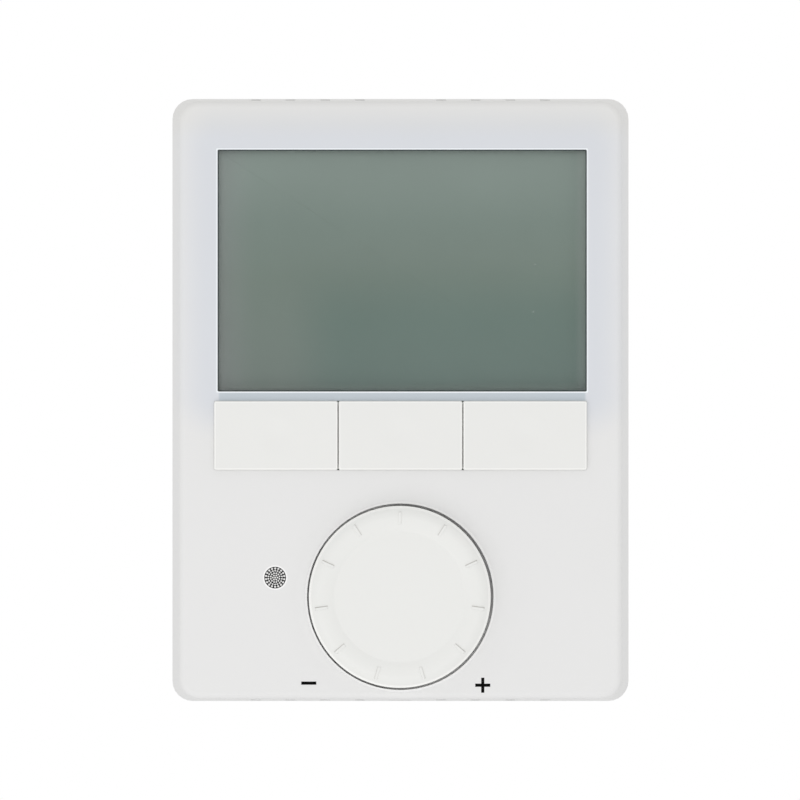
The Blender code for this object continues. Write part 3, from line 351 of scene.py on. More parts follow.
window_low, window_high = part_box("display_window")
display_x = (window_low[0] + window_high[0]) / 2
display_z = (window_low[2] + window_high[2]) / 2
ledge = 0.0006
lens_gap = 0.0003
lens_width = window_high[0] - window_low[0] - 2 * (ledge + lens_gap)
lens_height = window_high[2] - window_low[2] - 2 * (ledge + lens_gap)
opening_width = lens_width + 2 * lens_gap
opening_height = lens_height + 2 * lens_gap
lens_soft = 0.00018
lens_corner = 0.0002
lens_rise = 0.0009
lens_tone = (0.42, 0.46, 0.44, 1)
lens_veil, speck_veil = 0.03, 0.35
ripple_scale, ripple_height = 60.0, 0.00001
lens_dust = 0.006
empty_share = 0.6


def rounded_path(width, height, radius, steps=8):
    """Round-cornered rectangle as points and outward normals: each corner is a quarter circle."""
    turn = np.linspace(0, 2 * pi, 4, endpoint=False)
    angle = turn[:, None] + np.linspace(0, pi / 2, steps + 1)[None, :]
    normal = np.stack([np.cos(angle), np.sin(angle)], -1)
    sign = np.array([[1, 1], [-1, 1], [-1, -1], [1, -1]], float)
    centre = sign * (np.array([width, height]) / 2 - radius)
    points = centre[:, None, :] + radius * normal
    return points.reshape(-1, 2), normal.reshape(-1, 2)


def carried(path, out, depth, x=0.0, z=0.0):
    """Grid of points: profile point i stands out from path point j by out[i], at its own depth."""
    points, normal = path
    out = np.asarray(out, float)[:, None, None]
    flat = points[None] + out * normal[None] + np.array([x, z])
    level = np.broadcast_to(-np.asarray(depth, float)[:, None], flat.shape[:2])
    return np.stack([flat[..., 0], level, flat[..., 1]], -1)


def skinned(name, grid):
    """Closed skin over a grid whose rows are loops; the ends are capped, and faces point outwards."""
    rows, around = grid.shape[:2]
    here = np.arange(rows * around).reshape(rows, around)
    after = np.roll(here, -1, axis=1)
    quads = np.stack([here[:-1], after[:-1], after[1:], here[1:]], -1).reshape(-1, 4)
    faces = [*quads.tolist(), here[0][::-1].tolist(), here[-1].tolist()]
    mesh = bpy.data.meshes.new(name)
    mesh.from_pydata(grid.reshape(-1, 3).tolist(), [], faces)
    shell = bmesh.new()
    shell.from_mesh(mesh)
    bmesh.ops.recalc_face_normals(shell, faces=shell.faces)
    shell.to_mesh(mesh)
    shell.free()
    mesh.shade_smooth()
    mesh.set_sharp_from_angle(angle=radians(50))
    piece = bpy.data.objects.new(name, mesh)
    bpy.context.scene.collection.objects.link(piece)
    return piece


def quarter(radius, steps):
    """Quarter circle from the side (0, -radius) to the top (-radius, 0), as insets and drops."""
    angle = np.linspace(0, pi / 2, steps + 1)
    return -radius * (1 - np.cos(angle)), -radius * (1 - np.sin(angle))


def make_window():
    """Stepped lens: a thin flange behind the housing's lip, and a raised field with a soft edge."""
    back, top = -window_high[1], -window_low[1]
    flange = top - lens_rise
    inset, drop = quarter(lens_soft, 5)
    out = np.concatenate([[ledge + lens_gap, ledge + lens_gap, 0], inset, [-lens_soft - lens_corner]])
    depth = np.concatenate([[back, flange, flange], top + drop, [top]])
    path = rounded_path(lens_width, lens_height, lens_corner)
    return skinned("window_lens", carried(path, out, depth, display_x, display_z))


def vector_of(tree, operation, *values):
    """The outputs of one vector operation on points or sockets."""
    return add_node(tree, "ShaderNodeVectorMath", list(enumerate(values)), operation=operation).outputs


def box_distance(tree, centre, half):
    """How far a point of the surface lies outside an upright rectangle, in metres."""
    shifted = vector_of(tree, "SUBTRACT", surface_place(tree), (centre[0], 0, centre[1]))[0]
    past = vector_of(tree, "SUBTRACT", vector_of(tree, "ABSOLUTE", shifted)[0], (half[0], 1, half[1]))[0]
    return vector_of(tree, "LENGTH", vector_of(tree, "MAXIMUM", past, (0, 0, 0))[0])["Value"]


def faded(tree, value, start, end, low=1.0, high=0.0):
    """A smooth step of a value from low at start to high at end."""
    return add_node(
        tree, "ShaderNodeMapRange",
        [("Value", value), ("From Min", start), ("From Max", end), ("To Min", low), ("To Max", high)],
        interpolation_type="SMOOTHSTEP",
    ).outputs[0]


def make_dust():
    """Sparse dust: a round speck in the middle of a few cells of a random cell pattern."""
    tree, inner, outer = new_group(
        "dust", [("Cell Size", "NodeSocketFloat", 0.004), ("Speck Size", "NodeSocketFloat", 0.03)],
        [("Mask", "NodeSocketFloat")],
    )
    per_metre = sum_of(tree, "DIVIDE", 1.0, inner["Cell Size"])
    cells = add_node(tree, "ShaderNodeTexVoronoi", [("Vector", flat_place(tree)), ("Scale", per_metre)])
    near = sum_of(tree, "LESS_THAN", cells.outputs["Distance"], inner["Speck Size"])
    tint = add_node(tree, "ShaderNodeSeparateColor", [("Color", cells.outputs["Color"])])
    few = sum_of(tree, "GREATER_THAN", tint.outputs[0], empty_share)
    tree.links.new(sum_of(tree, "MULTIPLY", near, few), outer["Mask"])
    return tree


dust = make_dust()
cell_left, cell_right = display_x - lens_width / 2, display_x + lens_width / 2
cell_low, cell_high = display_z - lens_height / 2, display_z + lens_height / 2
cell_tones = (
    (0.0, (0.163, 0.202, 0.182)), (0.47, (0.166, 0.214, 0.184)), (0.70, (0.184, 0.238, 0.210)),
    (1.0, (0.246, 0.302, 0.274)),
)
cell_cloud = 26.0
cell_dim = (0.77, 0.875, 0.87, 1)
dim_low = (cell_low + 0.0130, cell_low + 0.0290)
dim_right = (cell_left + 0.0120, cell_left + 0.0260)
# Violet at the left of the cell, partly its own tint and partly painted light where the recess shades it.
cell_violet = (0.40, 0.38, 0.41, 1)
# Painted light along the cell's left, right and bottom edges, where the recess shades it.
cell_edge_light = (0.60, 0.61, 0.60, 1)
lip_shadow = (0.03, 0.03, 0.03, 1)
cell_margins = (
    ("X", cell_left, cell_left + 0.0085, 0.18, 0.0, cell_violet),
    ("X", cell_left, cell_left + 0.0025, 0.10, 0.0, cell_edge_light),
    ("X", cell_right - 0.0025, cell_right, 0.0, 0.14, cell_edge_light),
    ("Z", cell_low, cell_low + 0.0018, 0.10, 0.0, cell_edge_light),
    ("Z", cell_high - 0.0010, cell_high, 0.0, 0.15, lip_shadow),
)
cell_border = 0.00032
border_tone = (0.010, 0.018, 0.026, 1)
speck_tone = (0.45, 0.47, 0.46, 1)


def polariser():
    """Unlit liquid-crystal cell: grey-green, paler at the top, darker low on the right, violet left.

    Each margin mixes its colour in by a share that fades from one place to another along its axis.
    Along the left, right and bottom edges that is painted light where the recess shades the cell,
    and along the top a painted shadow of the lip."""
    made, tree, shader = new_material("polariser_film")
    place = surface_place(tree)
    axis = add_node(tree, "ShaderNodeSeparateXYZ", [("Vector", place)]).outputs
    limits = [("Value", axis["Z"]), ("From Min", cell_low), ("From Max", cell_high)]
    height = add_node(tree, "ShaderNodeMapRange", limits).outputs[0]
    ramp = add_node(tree, "ShaderNodeValToRGB", [("Fac", height)])
    for where, _ in cell_tones[1:-1]:
        ramp.color_ramp.elements.new(where)
    for stop, (_, colour) in zip(ramp.color_ramp.elements, cell_tones):
        stop.color = (*colour, 1)
    cloud = add_node(tree, "ShaderNodeTexNoise", [("Vector", place), ("Scale", cell_cloud), ("Detail", 2.0)])
    clouded = scaled(tree, ramp.outputs["Color"], ranged(tree, cloud.outputs["Fac"], 0.90, 1.10))
    low_part = faded(tree, axis["Z"], *dim_low)
    corner = sum_of(tree, "MULTIPLY", low_part, faded(tree, axis["X"], *dim_right, 0.0, 1.0))
    shaded = mixed(tree, corner, clouded, cell_dim, blend="MULTIPLY")
    for along, start, end, first, last, colour in cell_margins:
        shaded = mixed(tree, faded(tree, axis[along], start, end, first, last), shaded, colour)
    inside = (opening_width / 2 - cell_border, opening_height / 2 - cell_border)
    past = box_distance(tree, (display_x, display_z), inside)
    shaded = mixed(tree, faded(tree, past, 0.0, 0.5 * cell_border, 0.0, 0.70), shaded, border_tone)
    specks = add_node(tree, "ShaderNodeGroup", node_tree=dust).outputs["Mask"]
    tree.links.new(mixed(tree, specks, shaded, speck_tone), shader["Base Color"])
    shader["Roughness"].default_value = 0.35
    shader["Specular IOR Level"].default_value = 0.2
    return made


def clear_acrylic():
    """Clear window: almost nothing of its own, with a smooth, glossy surface over it."""
    made, tree, shader = new_material("window_acrylic")
    ripple = add_node(tree, "ShaderNodeTexNoise", [("Vector", surface_place(tree)), ("Scale", ripple_scale)])
    bump = add_node(tree, "ShaderNodeBump", [("Height", ripple.outputs["Fac"]), ("Distance", ripple_height)])
    specks = add_node(tree, "ShaderNodeGroup", [("Cell Size", lens_dust)], node_tree=dust).outputs["Mask"]
    tree.links.new(ranged(tree, specks, lens_veil, speck_veil), shader["Alpha"])
    tree.links.new(bump.outputs["Normal"], shader["Normal"])
    shader["Base Color"].default_value = lens_tone
    shader["Roughness"].default_value = 0.06
    return made


window = make_window()
window.data.materials.append(clear_acrylic())
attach(window, "housing")
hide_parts("display_window")
dress(polariser(), "lcd_glass")
dress(grained("light_guide_acrylic", (0.70, 0.76, 0.74), gloss=0.30), "lcd_backlight")
dress(black_nylon, "lcd_frame")


rubber_bands = 1000.0
rubber_dark, rubber_pink = (0.05, 0.04, 0.05, 1), (0.50, 0.28, 0.34, 1)


def striped_rubber():
    """Contact strip: thin dark and light silicone layers side by side along its length."""
    made, tree, shader = new_material("striped_silicone")
    values = [("Vector", surface_place(tree)), ("Scale", rubber_bands)]
    layers = add_node(tree, "ShaderNodeTexWave", values, bands_direction="X").outputs["Fac"]
    tree.links.new(mixed(tree, layers, rubber_dark, rubber_pink), shader["Base Color"])
    shader["Roughness"].default_value = 0.7
    return made


dress(striped_rubber(), "lcd_contact_strip")


# ------------------------------------------------------------------------------------------------
# Front housing.  One moulding in matte white ABS, 2 mm thick, with drafted walls and rounded edges.
# The lips of its openings are slightly rounded.  The face takes a blue-grey tint about the display;
# painted shade darkens the strip over the keys and the face above the display, painted highlights
# line the lips of the display, the dial's well and the inlet, and faint painted light rings the dial.

key_low, key_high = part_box("button_middle")
key_width = key_high[0] - key_low[0]
key_height = 0.01415
key_gap = 0.0003
key_x = (key_low[0] + key_high[0]) / 2
key_z = (key_low[2] + key_high[2]) / 2
key_top = key_z + key_height / 2
row_width = 3 * key_width + 2 * key_gap
dial_low, dial_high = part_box("knob")
dial_x = (dial_low[0] + dial_high[0]) / 2
dial_z = (dial_low[2] + dial_high[2]) / 2
dial_radius = (dial_high[2] - dial_low[2]) / 2
well_gap = 0.00055
well_offset = 0.00015
well_radius = dial_radius + well_gap
well_x = dial_x + well_offset
inlet_low, inlet_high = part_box("vent_membrane")
inlet_x = (inlet_low[0] + inlet_high[0]) / 2
inlet_z = (inlet_low[2] + inlet_high[2]) / 2
key_proud = 0.0010
face_front = -key_low[1] - key_proud
lip_radius = 0.00007
lip_steps = 3
mouth_draw = 0.00020
well_draw = 0.00003
well_shift = 0.00004
mouth_depth = 0.0022
same_place = 0.000005
near_enough = 0.00002


def open_edges(shell):
    """Edges where the flat face turns straight down into an opening."""
    return [
        edge for edge in shell.edges
        if all(abs(vertex.co.y + face_front) < near_enough for vertex in edge.verts)
        and len(edge.link_faces) == 2 and edge.calc_face_angle() > radians(60)
    ]


def drawn_in(points):
    """The openings close up on what fills them: the keys' edge moves in by mouth_draw towards the row's
    middle, and the dial's round edge by well_draw towards its own."""
    x, z = points[:, 0] - key_x, points[:, 2] - key_z
    side = row_width / 2 + key_gap
    end = key_height / 2 + key_gap
    edge = (np.abs(x) < side + near_enough) & (np.abs(z) < end + near_enough)
    edge &= (np.abs(x) > side - 2 * key_gap - near_enough) | (np.abs(z) > end - 2 * key_gap - near_enough)
    edge &= points[:, 1] < -face_front + mouth_depth
    points[edge, 0] = key_x + x[edge] * (side - mouth_draw) / side
    points[edge, 2] = key_z + z[edge] * (end - mouth_draw) / end
    x, z = points[:, 0] - well_x, points[:, 2] - dial_z
    round_edge = np.abs(np.hypot(x, z) - well_radius) < 2 * near_enough
    points[round_edge, 0] = well_x - well_shift + x[round_edge] * (1 - well_draw / well_radius)
    points[round_edge, 2] = dial_z + z[round_edge] * (1 - well_draw / well_radius)
    return points


def make_housing():
    """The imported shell, merged to flat faces, with a small round on the edge of each opening."""
    shell = bmesh.new()
    shell.from_mesh(nodes["front_housing"].data)
    bmesh.ops.remove_doubles(shell, verts=shell.verts, dist=same_place)
    bmesh.ops.dissolve_limit(shell, angle_limit=radians(0.4), verts=shell.verts, edges=shell.edges)
    mesh = bpy.data.meshes.new("housing_shell")
    shell.to_mesh(mesh)
    points = np.empty(3 * len(mesh.vertices))
    mesh.vertices.foreach_get("co", points)
    mesh.vertices.foreach_set("co", drawn_in(points.reshape(-1, 3)).ravel())
    shell.clear()
    shell.from_mesh(mesh)
    weights = shell.edges.layers.float.new("bevel_weight_edge")
    for edge in open_edges(shell):
        edge[weights] = 1.0
    shell.to_mesh(mesh)
    shell.free()
    mesh.shade_smooth()
    mesh.set_sharp_from_angle(angle=radians(35))
    piece = bpy.data.objects.new("housing_shell", mesh)
    bpy.context.scene.collection.objects.link(piece)
    soften = piece.modifiers.new("lip", "BEVEL")
    soften.limit_method = "WEIGHT"
    soften.width = lip_radius
    soften.segments = lip_steps
    level = piece.modifiers.new("level", "WEIGHTED_NORMAL")
    level.keep_sharp = True
    return piece


housing_white = (0.80, 0.798, 0.797)
# A blue-grey tint about the display, fading out from its edge over its reach.
display_tint, tint_reach = (0.875, 0.902, 0.955, 1), (0.0015, 0.0110)
# Painted shade: the face above the display is a little darker.
brow_shade, brow_reach = (0.972, 0.968, 0.955, 1), (0.0015, 0.0060)
# Painted shade: the strip between the display and the keys, darkened blue-grey.
strip_shade, strip_fade = (0.67, 0.74, 0.80, 1), 0.0006
# Painted highlight: a thin bright line just outside the display's opening.
lip_highlight, lip_reach = (1.10, 1.15, 1.19, 1), (0.00022, 0.00034)
strip_grow, strip_inset = 0.0004, 0.0006
# Painted light: a faint wide ring round the dial, and painted highlights on the well's and the inlet's lips.
painted_light_rings = (
    (well_x, dial_z, well_radius, 0.0030, 1.035), (well_x, dial_z, well_radius + 0.00028, 0.00015, 1.15),
    (inlet_x, inlet_z, 0.00247, 0.00015, 1.17),
)


def housing_abs():
    """Matte white with a blue-grey tint about the display; painted shade darkens the strip over the keys and
    the face above the display, and a painted highlight lines the display's lip.

    Each ring of painted light is lighter by its gain, from its edge over its reach."""
    made, tree, shader = new_material("housing_abs")
    place = surface_place(tree)
    white = grain_laid(
        tree, shader, (*housing_white, 1), gloss=0.50, shade_change=0.025, grain=0.00025, gloss_change=0.08,
        pit=0.000004,
    )
    from_display = box_distance(tree, (display_x, display_z), (opening_width / 2, opening_height / 2))
    strip_high = display_z - opening_height / 2
    strip_half = (opening_width / 2 - strip_inset, (strip_high - key_top) / 2 + strip_grow)
    from_strip = box_distance(tree, (display_x, (strip_high + key_top) / 2), strip_half)
    height = add_node(tree, "ShaderNodeSeparateXYZ", [("Vector", place)]).outputs["Z"]
    brow = [display_z + opening_height / 2 + reach for reach in brow_reach]
    tint = mixed(tree, faded(tree, from_display, *tint_reach), (1, 1, 1, 1), display_tint)
    # Painted shade above the display.
    toned = mixed(tree, faded(tree, height, *brow, 0.0, 1.0), tint, brow_shade, blend="MULTIPLY")
    # Painted shade over the strip above the keys.
    strip = mixed(tree, faded(tree, from_strip, 0.0, strip_fade), toned, strip_shade)
    # Painted highlight along the display's lip.
    lit = mixed(tree, faded(tree, from_display, *lip_reach), strip, lip_highlight)
    # Rings of painted light round the dial and the inlet.
    for x, z, edge, reach, gain in painted_light_rings:
        distance = vector_of(tree, "DISTANCE", place, (x, -face_front, z))["Value"]
        lit = mixed(tree, faded(tree, distance, edge, edge + reach), lit, (gain, gain, gain, 1))
    tree.links.new(mixed(tree, 1.0, white, lit, blend="MULTIPLY"), shader["Base Color"])
    return made


housing = make_housing()
housing.data.materials.append(housing_abs())
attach(housing, "housing")
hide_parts("front_housing")


# ------------------------------------------------------------------------------------------------
# Minus and plus marks.  Two small signs pad-printed in black ink at the lower left and right of the
# dial; the ink is a film a few hundredths of a millimetre thick.

mark_length = 0.0031
mark_stroke = 0.00064
ink_film = 0.00003
mark_places = {"minus": (-0.01895, -0.05850), "plus": (0.0170, -0.05893)}


def make_mark(name, upright):
    """A flat bar, or a cross: the outline goes round the bar's ends and, for a cross, its arms."""
    long, thin = mark_length / 2, mark_stroke / 2
    if upright:
        half = [(long, thin), (thin, thin), (thin, long), (-thin, long), (-thin, thin), (-long, thin)]
        outline = half + [(-x, -z) for x, z in half]
    else:
        outline = [(long, thin), (-long, thin), (-long, -thin), (long, -thin)]
    flat = (np.array(outline), np.zeros((len(outline), 2)))
    x, z = mark_places[name]
    grid = carried(flat, [0, 0], [face_front - ink_film, face_front + ink_film], x, z)
    return skinned(f"{name}_mark", grid)


ink = grained("black_ink", (0.003, 0.003, 0.003), gloss=0.80, shade_change=0.6, grain=0.0001, pit=0.000004)
ink.node_tree.nodes["Principled BSDF"].inputs["Specular IOR Level"].default_value = 0.05
for mark, is_cross in (("minus", False), ("plus", True)):
    printed = make_mark(mark, is_cross)
    printed.data.materials.append(ink)
    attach(printed, "housing")


# ------------------------------------------------------------------------------------------------
# Room-air inlet.  A round sheet of thin etched steel, blackened, with 55 small holes; a white dust
# membrane lies right behind it, and a black cup holds both in the housing.

inlet_radius = 0.00222
inlet_sheet = 0.00004
inlet_recess = 0.00010
hole_rings = ((1, 0.0, 0.0), (6, 0.00049, 0.0), (12, 0.00094, 15.0), (18, 0.00143, 9.6), (18, 0.00191, 9.6))
hole_sizes = (0.00020, 0.00019, 0.00019, 0.00019, 0.00023)
membrane_gap = 0.00002
membrane_sheet = 0.00020
cup_gap = 0.00003
cup_grow = 0.00005
disc_soft = 0.00002


def hole_places():
    """Centres and radii of the inlet's holes, ring by ring."""
    centres = []
    for count, radius, start in hole_rings:
        angle = radians(start) + 2 * pi * np.arange(count) / count
        centres.append(radius * np.stack([np.cos(angle), np.sin(angle)], -1))
    return np.concatenate(centres), np.repeat(hole_sizes, [count for count, _, _ in hole_rings])


def ring_points(centres, sizes, steps):
    """Points of a circle of its own radius about each centre, and the edges that join them round."""
    angle = 2 * pi * np.arange(steps) / steps
    points = centres[:, None] + sizes[:, None, None] * np.stack([np.cos(angle), np.sin(angle)], -1)[None]
    first = np.arange(len(centres) * steps).reshape(-1, steps)
    return points.reshape(-1, 2), np.stack([first, np.roll(first, -1, axis=1)], -1).reshape(-1, 2)


def make_inlet_sheet():
    """Flat disc filled with triangles between its rim and the holes, then given its thickness."""
    centres, sizes = hole_places()
    rim, rim_edges = ring_points(np.zeros((1, 2)), np.array([inlet_radius]), 64)
    holes, hole_edges = ring_points(centres, sizes, 14)
    points = np.concatenate([rim, holes])
    edges = np.concatenate([rim_edges, hole_edges + len(rim)])
    flat, _, faces, *_ = delaunay_2d_cdt([Vector(p) for p in points], edges.tolist(), [], 1, 1e-7)
    flat = np.array([tuple(point) for point in flat])
    faces = np.array(faces)
    middle = flat[faces].mean(axis=1)
    solid = (np.linalg.norm(middle[:, None] - centres[None], axis=-1) / sizes).min(axis=1) > 0.97
    front = face_front - inlet_recess
    place = np.stack([flat[:, 0] + inlet_x, np.full(len(flat), -front), flat[:, 1] + inlet_z], -1)
    mesh = bpy.data.meshes.new("inlet_sheet")
    mesh.from_pydata(place.tolist(), [], faces[solid].tolist())
    piece = bpy.data.objects.new("inlet_sheet", mesh)
    bpy.context.scene.collection.objects.link(piece)
    facing = mesh.polygons[0].normal.y < 0
    thick = piece.modifiers.new("sheet", "SOLIDIFY")
    thick.thickness = inlet_sheet
    thick.offset = -1.0 if facing else 1.0
    return piece


def round_path(radius, steps):
    """Circle as points and outward normals."""
    angle = 2 * pi * np.arange(steps) / steps
    normal = np.stack([np.cos(angle), np.sin(angle)], -1)
    return radius * normal, normal


def make_inlet_disc(name, radius, back, front):
    """A thin round disc with softened edges."""
    soft = min(disc_soft, (front - back) / 3)
    out = [-soft, 0, 0, -soft]
    depth = [back, back + soft, front - soft, front]
    return skinned(name, carried(round_path(radius, 64), out, depth, inlet_x, inlet_z))


inlet_front = face_front - inlet_recess - inlet_sheet
inlet_mesh = make_inlet_sheet()
inlet_mesh.data.materials.append(plated("blackened_steel", (0.020, 0.020, 0.021), gloss=0.45))
membrane_front = inlet_front - membrane_gap
membrane_back = membrane_front - membrane_sheet
membrane = make_inlet_disc("inlet_membrane", inlet_radius - membrane_gap, membrane_back, membrane_front)
felt = grained("membrane_felt", (0.96, 0.96, 0.95), gloss=0.9, grain=0.00006, pit=0.00001)
membrane.data.materials.append(felt)
cup = make_inlet_disc("inlet_cup", inlet_radius + cup_grow, -inlet_high[1], membrane_back - cup_gap)
cup.data.materials.append(black_nylon)
for piece in (inlet_mesh, membrane, cup):
    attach(piece, "housing")
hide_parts("sensor_grille")
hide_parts("vent_membrane")


# ------------------------------------------------------------------------------------------------
# Buttons.  Three white key caps side by side, 1 mm proud of the face, each with a softly rounded
# rim and a shallow round finger dish; a flange behind the face keeps them in.

key_corner = 0.0004
key_soft = 0.00022
shelf_out = 0.00013
shelf_depth = 0.02592
dish_radius = 0.0046
dish_depth = 0.00022
field_inset = 0.00008
side_spacing = 0.0010
# Painted highlight: the colour of the keys' and the dial's marked edges.
highlight_white = (0.95, 0.95, 0.93)
# Painted shade: the colour of the upper flank of the dial's ridges.
painted_shade_tone = (0.50, 0.49, 0.46, 1)


def spread(path, spacing):
    """The path with points added along its straight runs, no further apart than the spacing."""
    points, normal = path
    looped = np.concatenate([points, points[:1]])
    length = np.concatenate([[0], np.cumsum(np.linalg.norm(np.diff(looped, axis=0), axis=1))])
    even = np.arange(0, length[-1], spacing)
    gap = np.abs(even[:, None] - length[None]).min(axis=1)
    at = np.sort(np.concatenate([length[:-1], even[gap > spacing / 4]]))
    looped_normal = np.concatenate([normal, normal[:1]])
    new_points = np.stack([np.interp(at, length, looped[:, k]) for k in (0, 1)], -1)
    new_normal = np.stack([np.interp(at, length, looped_normal[:, k]) for k in (0, 1)], -1)
    return new_points, new_normal / np.linalg.norm(new_normal, axis=1, keepdims=True)


def make_key(name, x, z, front, back):
    """A shelf just below the face, walls, a quarter round, a flat field that turns to circles, a dish.

    The dish's depth at a share s of its radius is dish_depth * (1 + cos(pi * s)) / 2."""
    path = spread(rounded_path(key_width, key_height, key_corner), side_spacing)
    inset, drop = quarter(key_soft, 6)
    out = np.concatenate([[shelf_out, shelf_out, 0], inset])
    rim = carried(path, out, np.concatenate([[back, shelf_depth, shelf_depth], front + drop]), x, z)
    points = path[0] - (key_soft + field_inset) * path[1]
    angle = np.arctan2(points[:, 1], points[:, 0])
    circle = np.stack([np.cos(angle), np.sin(angle)], -1)
    share = np.linspace(0, 1, 8)[:, None, None]
    field = points[None] * (1 - share) + dish_radius * circle[None] * share
    inward = np.linspace(1, 0.02, 16)[1:]
    dish = dish_radius * inward[:, None, None] * circle[None]
    flat = np.concatenate([field, dish]) + np.array([x, z])
    level = np.concatenate([np.full(8, front), front - dish_depth * (1 + np.cos(pi * inward)) / 2])
    top = np.stack([flat[..., 0], np.broadcast_to(-level[:, None], flat.shape[:2]), flat[..., 1]], -1)
    rows = np.concatenate([rim, top])
    # The rounded rim rows carry a painted highlight.
    rounded_rows = np.arange(len(rim)) >= len(rim) // 2
    edge_highlight = np.concatenate([rounded_rows, np.zeros(len(top))])
    return marked(skinned(name, rows), "edge_highlight", np.repeat(edge_highlight, len(path[0])))


def marked(piece, name, values):
    """Stores one number for each point of a piece's mesh, for its material to read."""
    piece.data.attributes.new(name, "FLOAT", "POINT").data.foreach_set("value", values)
    return piece


def white_with_painted_light(name, colour, gloss):
    """White moulded plastic: a painted highlight brightens its marked edges, and painted shade darkens it
    where marked.
    """
    made, tree, shader = new_material(name)
    highlight_share = add_node(tree, "ShaderNodeAttribute", attribute_name="edge_highlight").outputs["Fac"]
    painted_shade = add_node(tree, "ShaderNodeAttribute", attribute_name="painted_shade").outputs["Fac"]
    tone = mixed(tree, painted_shade, mixed(tree, highlight_share, (*colour, 1), (*highlight_white, 1)), painted_shade_tone)
    shaded = grain_laid(
        tree, shader, tone, gloss, shade_change=0.012, grain=0.00020, gloss_change=0.06, pit=0.000003
    )
    tree.links.new(shaded, shader["Base Color"])
    return made


key_plastic = white_with_painted_light("key_plastic", (0.828, 0.828, 0.812), gloss=0.42)
for side in ("left", "middle", "right"):
    low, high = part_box(f"button_{side}")
    key = make_key(f"key_cap_{side}", (low[0] + high[0]) / 2, (low[2] + high[2]) / 2, -low[1], -high[1])
    key.data.materials.append(key_plastic)
    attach(key, f"button_{side}")
    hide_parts(f"button_{side}")


# ------------------------------------------------------------------------------------------------
# Dial.  A white knob pressed on the encoder's shaft: a flat middle, a rounded raised rim with
# eleven small finger ridges moulded on it, and a skirt that turns in the housing's well.

dial_back = -dial_high[1]
dial_crest = 0.03093
dial_disc = 0.03045
dial_edge = 0.0297
dial_grow = 0.00002
rim_radius = dial_radius + dial_grow
crest_inset = 0.00245
rise_width = 0.00275
crest_radius = dial_radius - crest_inset
disc_radius = crest_radius - rise_width
ridges = 11
ridge_half_length = 0.00135
ridge_half_width = 0.00028
ridge_top = -dial_low[1]
ridge_reach = 0.034
ridge_pitch = 2 * pi / ridges
ridge_soft = 0.00008
ridge_sag = 0.0001
painted_shade_width = 0.00009
# The dial's painted highlight: how far in from the rim it reaches, and how softly it fades in.
highlight_reach = 0.00055
highlight_fade = 0.0002
pole_radius = 0.0004
ring_step = 0.0001
skirt_round = 0.0003
skirt_soft = 0.0002
skirt_wall = 0.0020
hub_radius = 0.0052
bore_radius = 0.0034


def ridge_angles():
    """Angles of the grid, dense on each ridge: a ridge every eleventh of a turn, the first on top."""
    dense = np.linspace(-ridge_reach, ridge_reach, 41)
    loose = np.linspace(ridge_reach, ridge_pitch - ridge_reach, 14)[1:-1]
    one = np.concatenate([dense, loose])
    return (pi / 2 + ridge_pitch * np.arange(ridges)[:, None] + one[None]).ravel()


def smooth_step(value):
    """0 below 0, 1 above 1, and 3v^2 - 2v^3 between."""
    held = np.clip(value, 0, 1)
    return held * held * (3 - 2 * held)


def dial_level(radius):
    """Depth of the dial's face: flat, one parabola up to the crest, then another down to the edge."""
    rise = np.clip((radius - disc_radius) / (crest_radius - disc_radius), 0, 1)
    fall = np.clip((radius - crest_radius) / (rim_radius - crest_radius), 0, 1)
    return dial_crest - (dial_crest - dial_disc) * (1 - rise) ** 2 - (dial_crest - dial_edge) * fall ** 2


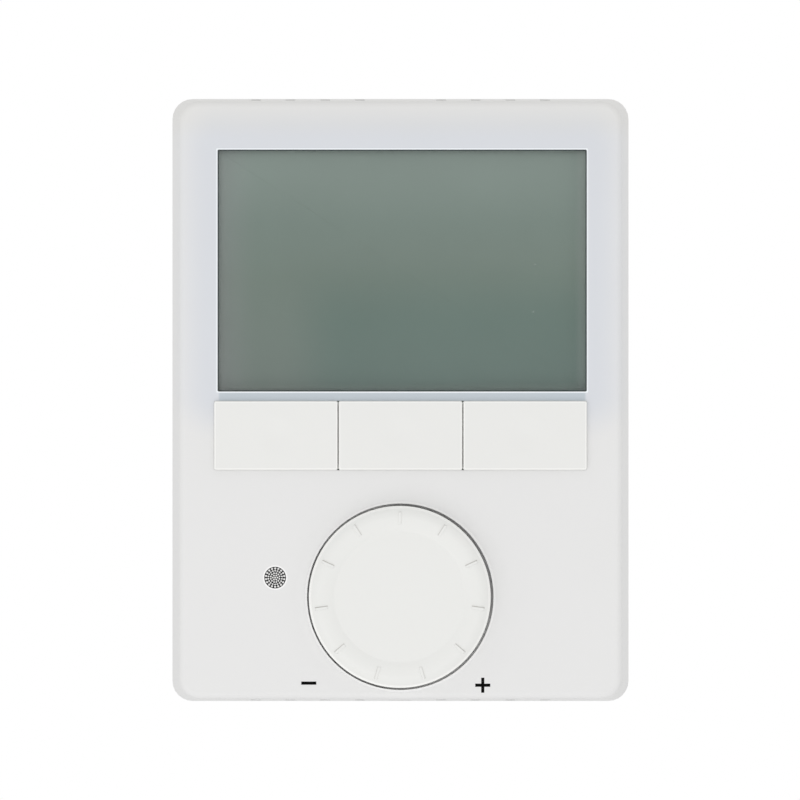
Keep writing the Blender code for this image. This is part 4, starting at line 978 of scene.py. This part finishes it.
def make_dial():
    """Rings of the face with the ridges lifted out of it, then the skirt turned in at the back.

    A ridge lifts a point to the ridge's top, by a soft step across its width and along its length.
    Painted shade falls off from a ridge's upper side as exp(-(distance / width) ** 2), width being its set
    width."""
    angle = ridge_angles()
    flat_part = np.linspace(pole_radius, disc_radius - 3 * ring_step, 12)
    rim_part = np.linspace(disc_radius - 2 * ring_step, rim_radius - skirt_round, 56)
    radius = np.concatenate([flat_part, rim_part])
    face = dial_level(radius)[:, None] + 0 * angle[None]
    turn = (angle - pi / 2 + ridge_pitch / 2) % ridge_pitch - ridge_pitch / 2
    across = np.abs(radius[:, None] * np.sin(turn)[None])
    along = np.abs(radius - crest_radius)[:, None]
    lift = smooth_step((ridge_half_width + ridge_soft / 2 - across) / ridge_soft)
    lift = lift * smooth_step((ridge_half_length - along) / (2 * ridge_soft))
    dome = ridge_top - ridge_sag * (along / ridge_half_length) ** 2
    face = np.where(dome > face, face + (dome - face) * lift, face)
    # Painted shade along the upper flank of each ridge.
    upward = np.clip(np.cos(angle) * np.sign(turn), 0, 1)[None]
    painted_shade = upward * np.exp(-((across - ridge_half_width) / painted_shade_width) ** 2) * (along < ridge_half_length)
    inset, drop = quarter(skirt_round, 6)
    skirt_in = rim_radius - skirt_wall
    web = dial_edge - skirt_wall
    side_out = rim_radius + inset[::-1]
    side_level = dial_edge - ring_step + drop[::-1]
    skirt_out = [rim_radius, rim_radius - skirt_soft, skirt_in + skirt_soft, skirt_in]
    skirt_level = [dial_back + skirt_soft, dial_back, dial_back, dial_back + skirt_soft]
    under_out = [skirt_in, hub_radius, hub_radius, bore_radius, bore_radius]
    under_level = [web, web, dial_back, dial_back, web]
    out = np.concatenate([radius, side_out, skirt_out, under_out])
    tail = np.concatenate([side_level, skirt_level, under_level])
    level = np.concatenate([face, np.broadcast_to(tail[:, None], (len(tail), len(angle)))])
    x = dial_x + out[:, None] * np.cos(angle)[None]
    z = dial_z + out[:, None] * np.sin(angle)[None]
    seen = np.arange(len(out)) < len(radius) + len(side_out)
    # Painted highlight on the dial's outer rim and its rounded side.
    highlight_share = smooth_step((out - rim_radius + highlight_reach) / highlight_fade) * seen
    piece = skinned("dial_knob", np.stack([x, -level, z], -1))
    painted_shade = np.concatenate([painted_shade, np.zeros((len(tail), len(angle)))])
    return marked(marked(piece, "edge_highlight", np.repeat(highlight_share, len(angle))), "painted_shade", painted_shade.ravel())


dial = make_dial()
dial.data.materials.append(white_with_painted_light("dial_plastic", (0.828, 0.830, 0.812), gloss=0.45))
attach(dial, "knob")
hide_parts("knob")


# ------------------------------------------------------------------------------------------------
# Studio.  A pale floor below the hanging unit, an even white surround, a wide soft box in front and
# a small one low at the left; a long lens stands three metres in front.

surround_strength = 0.855
floor_level = -0.60
floor_half = 1.5


def make_floor():
    """Level square three metres across, well below the unit."""
    side = np.array([[-1, -1], [1, -1], [1, 1], [-1, 1]]) * floor_half
    mesh = bpy.data.meshes.new("studio_floor")
    mesh.from_pydata(np.column_stack([side, np.full(4, floor_level)]).tolist(), [], [[0, 1, 2, 3]])
    piece = bpy.data.objects.new("studio_floor", mesh)
    bpy.context.scene.collection.objects.link(piece)
    return piece


def make_surround():
    """World light: white where the lens looks straight at it, a little dimmer as light."""
    world = bpy.data.worlds.new("studio")
    world.use_nodes = True
    tree = world.node_tree
    light = tree.nodes["Background"]
    light.inputs["Color"].default_value = (1.0, 1.0, 0.995, 1)
    light.inputs["Strength"].default_value = surround_strength
    seen = add_node(tree, "ShaderNodeBackground", [("Color", (1, 1, 1, 1)), ("Strength", 1.0)])
    path = add_node(tree, "ShaderNodeLightPath")
    both = add_node(
        tree, "ShaderNodeMixShader",
        [(0, path.outputs["Is Camera Ray"]), (1, light.outputs[0]), (2, seen.outputs[0])],
    )
    tree.links.new(both.outputs[0], tree.nodes["World Output"].inputs["Surface"])
    return world


def aimed(name, data, place, target=(0, 0, 0)):
    """A light or camera at a place, looking at a target."""
    made = bpy.data.objects.new(name, data)
    made.location = place
    made.rotation_euler = (Vector(target) - Vector(place)).to_track_quat("-Z", "Y").to_euler()
    bpy.context.scene.collection.objects.link(made)
    return made


def soft_light(name, size, energy, place):
    """A square soft box turned to the unit."""
    light = bpy.data.lights.new(name, "AREA")
    light.shape = "SQUARE"
    light.size = size
    light.energy = energy
    return aimed(name, light, place)


floor = make_floor()
floor.data.materials.append(grained("floor_paint", (0.91, 0.91, 0.91), gloss=0.7, grain=0.002, pit=0.00005))
bpy.context.scene.world = make_surround()
soft_light("front_box", size=2.5, energy=2.0, place=(-0.3, -3.4, -0.4))
soft_light("low_box", size=0.8, energy=1.4, place=(-0.15, -0.60, -0.42))

lens_x = -0.0001
lens_distance = 3.0
lens = bpy.data.cameras.new("lens")
lens.sensor_width = 36.0
lens.lens = 647.7
lens.clip_end = 20.0
bpy.context.scene.camera = aimed("lens", lens, (lens_x, -lens_distance, 0), (lens_x, 0, 0))
bpy.context.scene.view_settings.view_transform = "Standard"
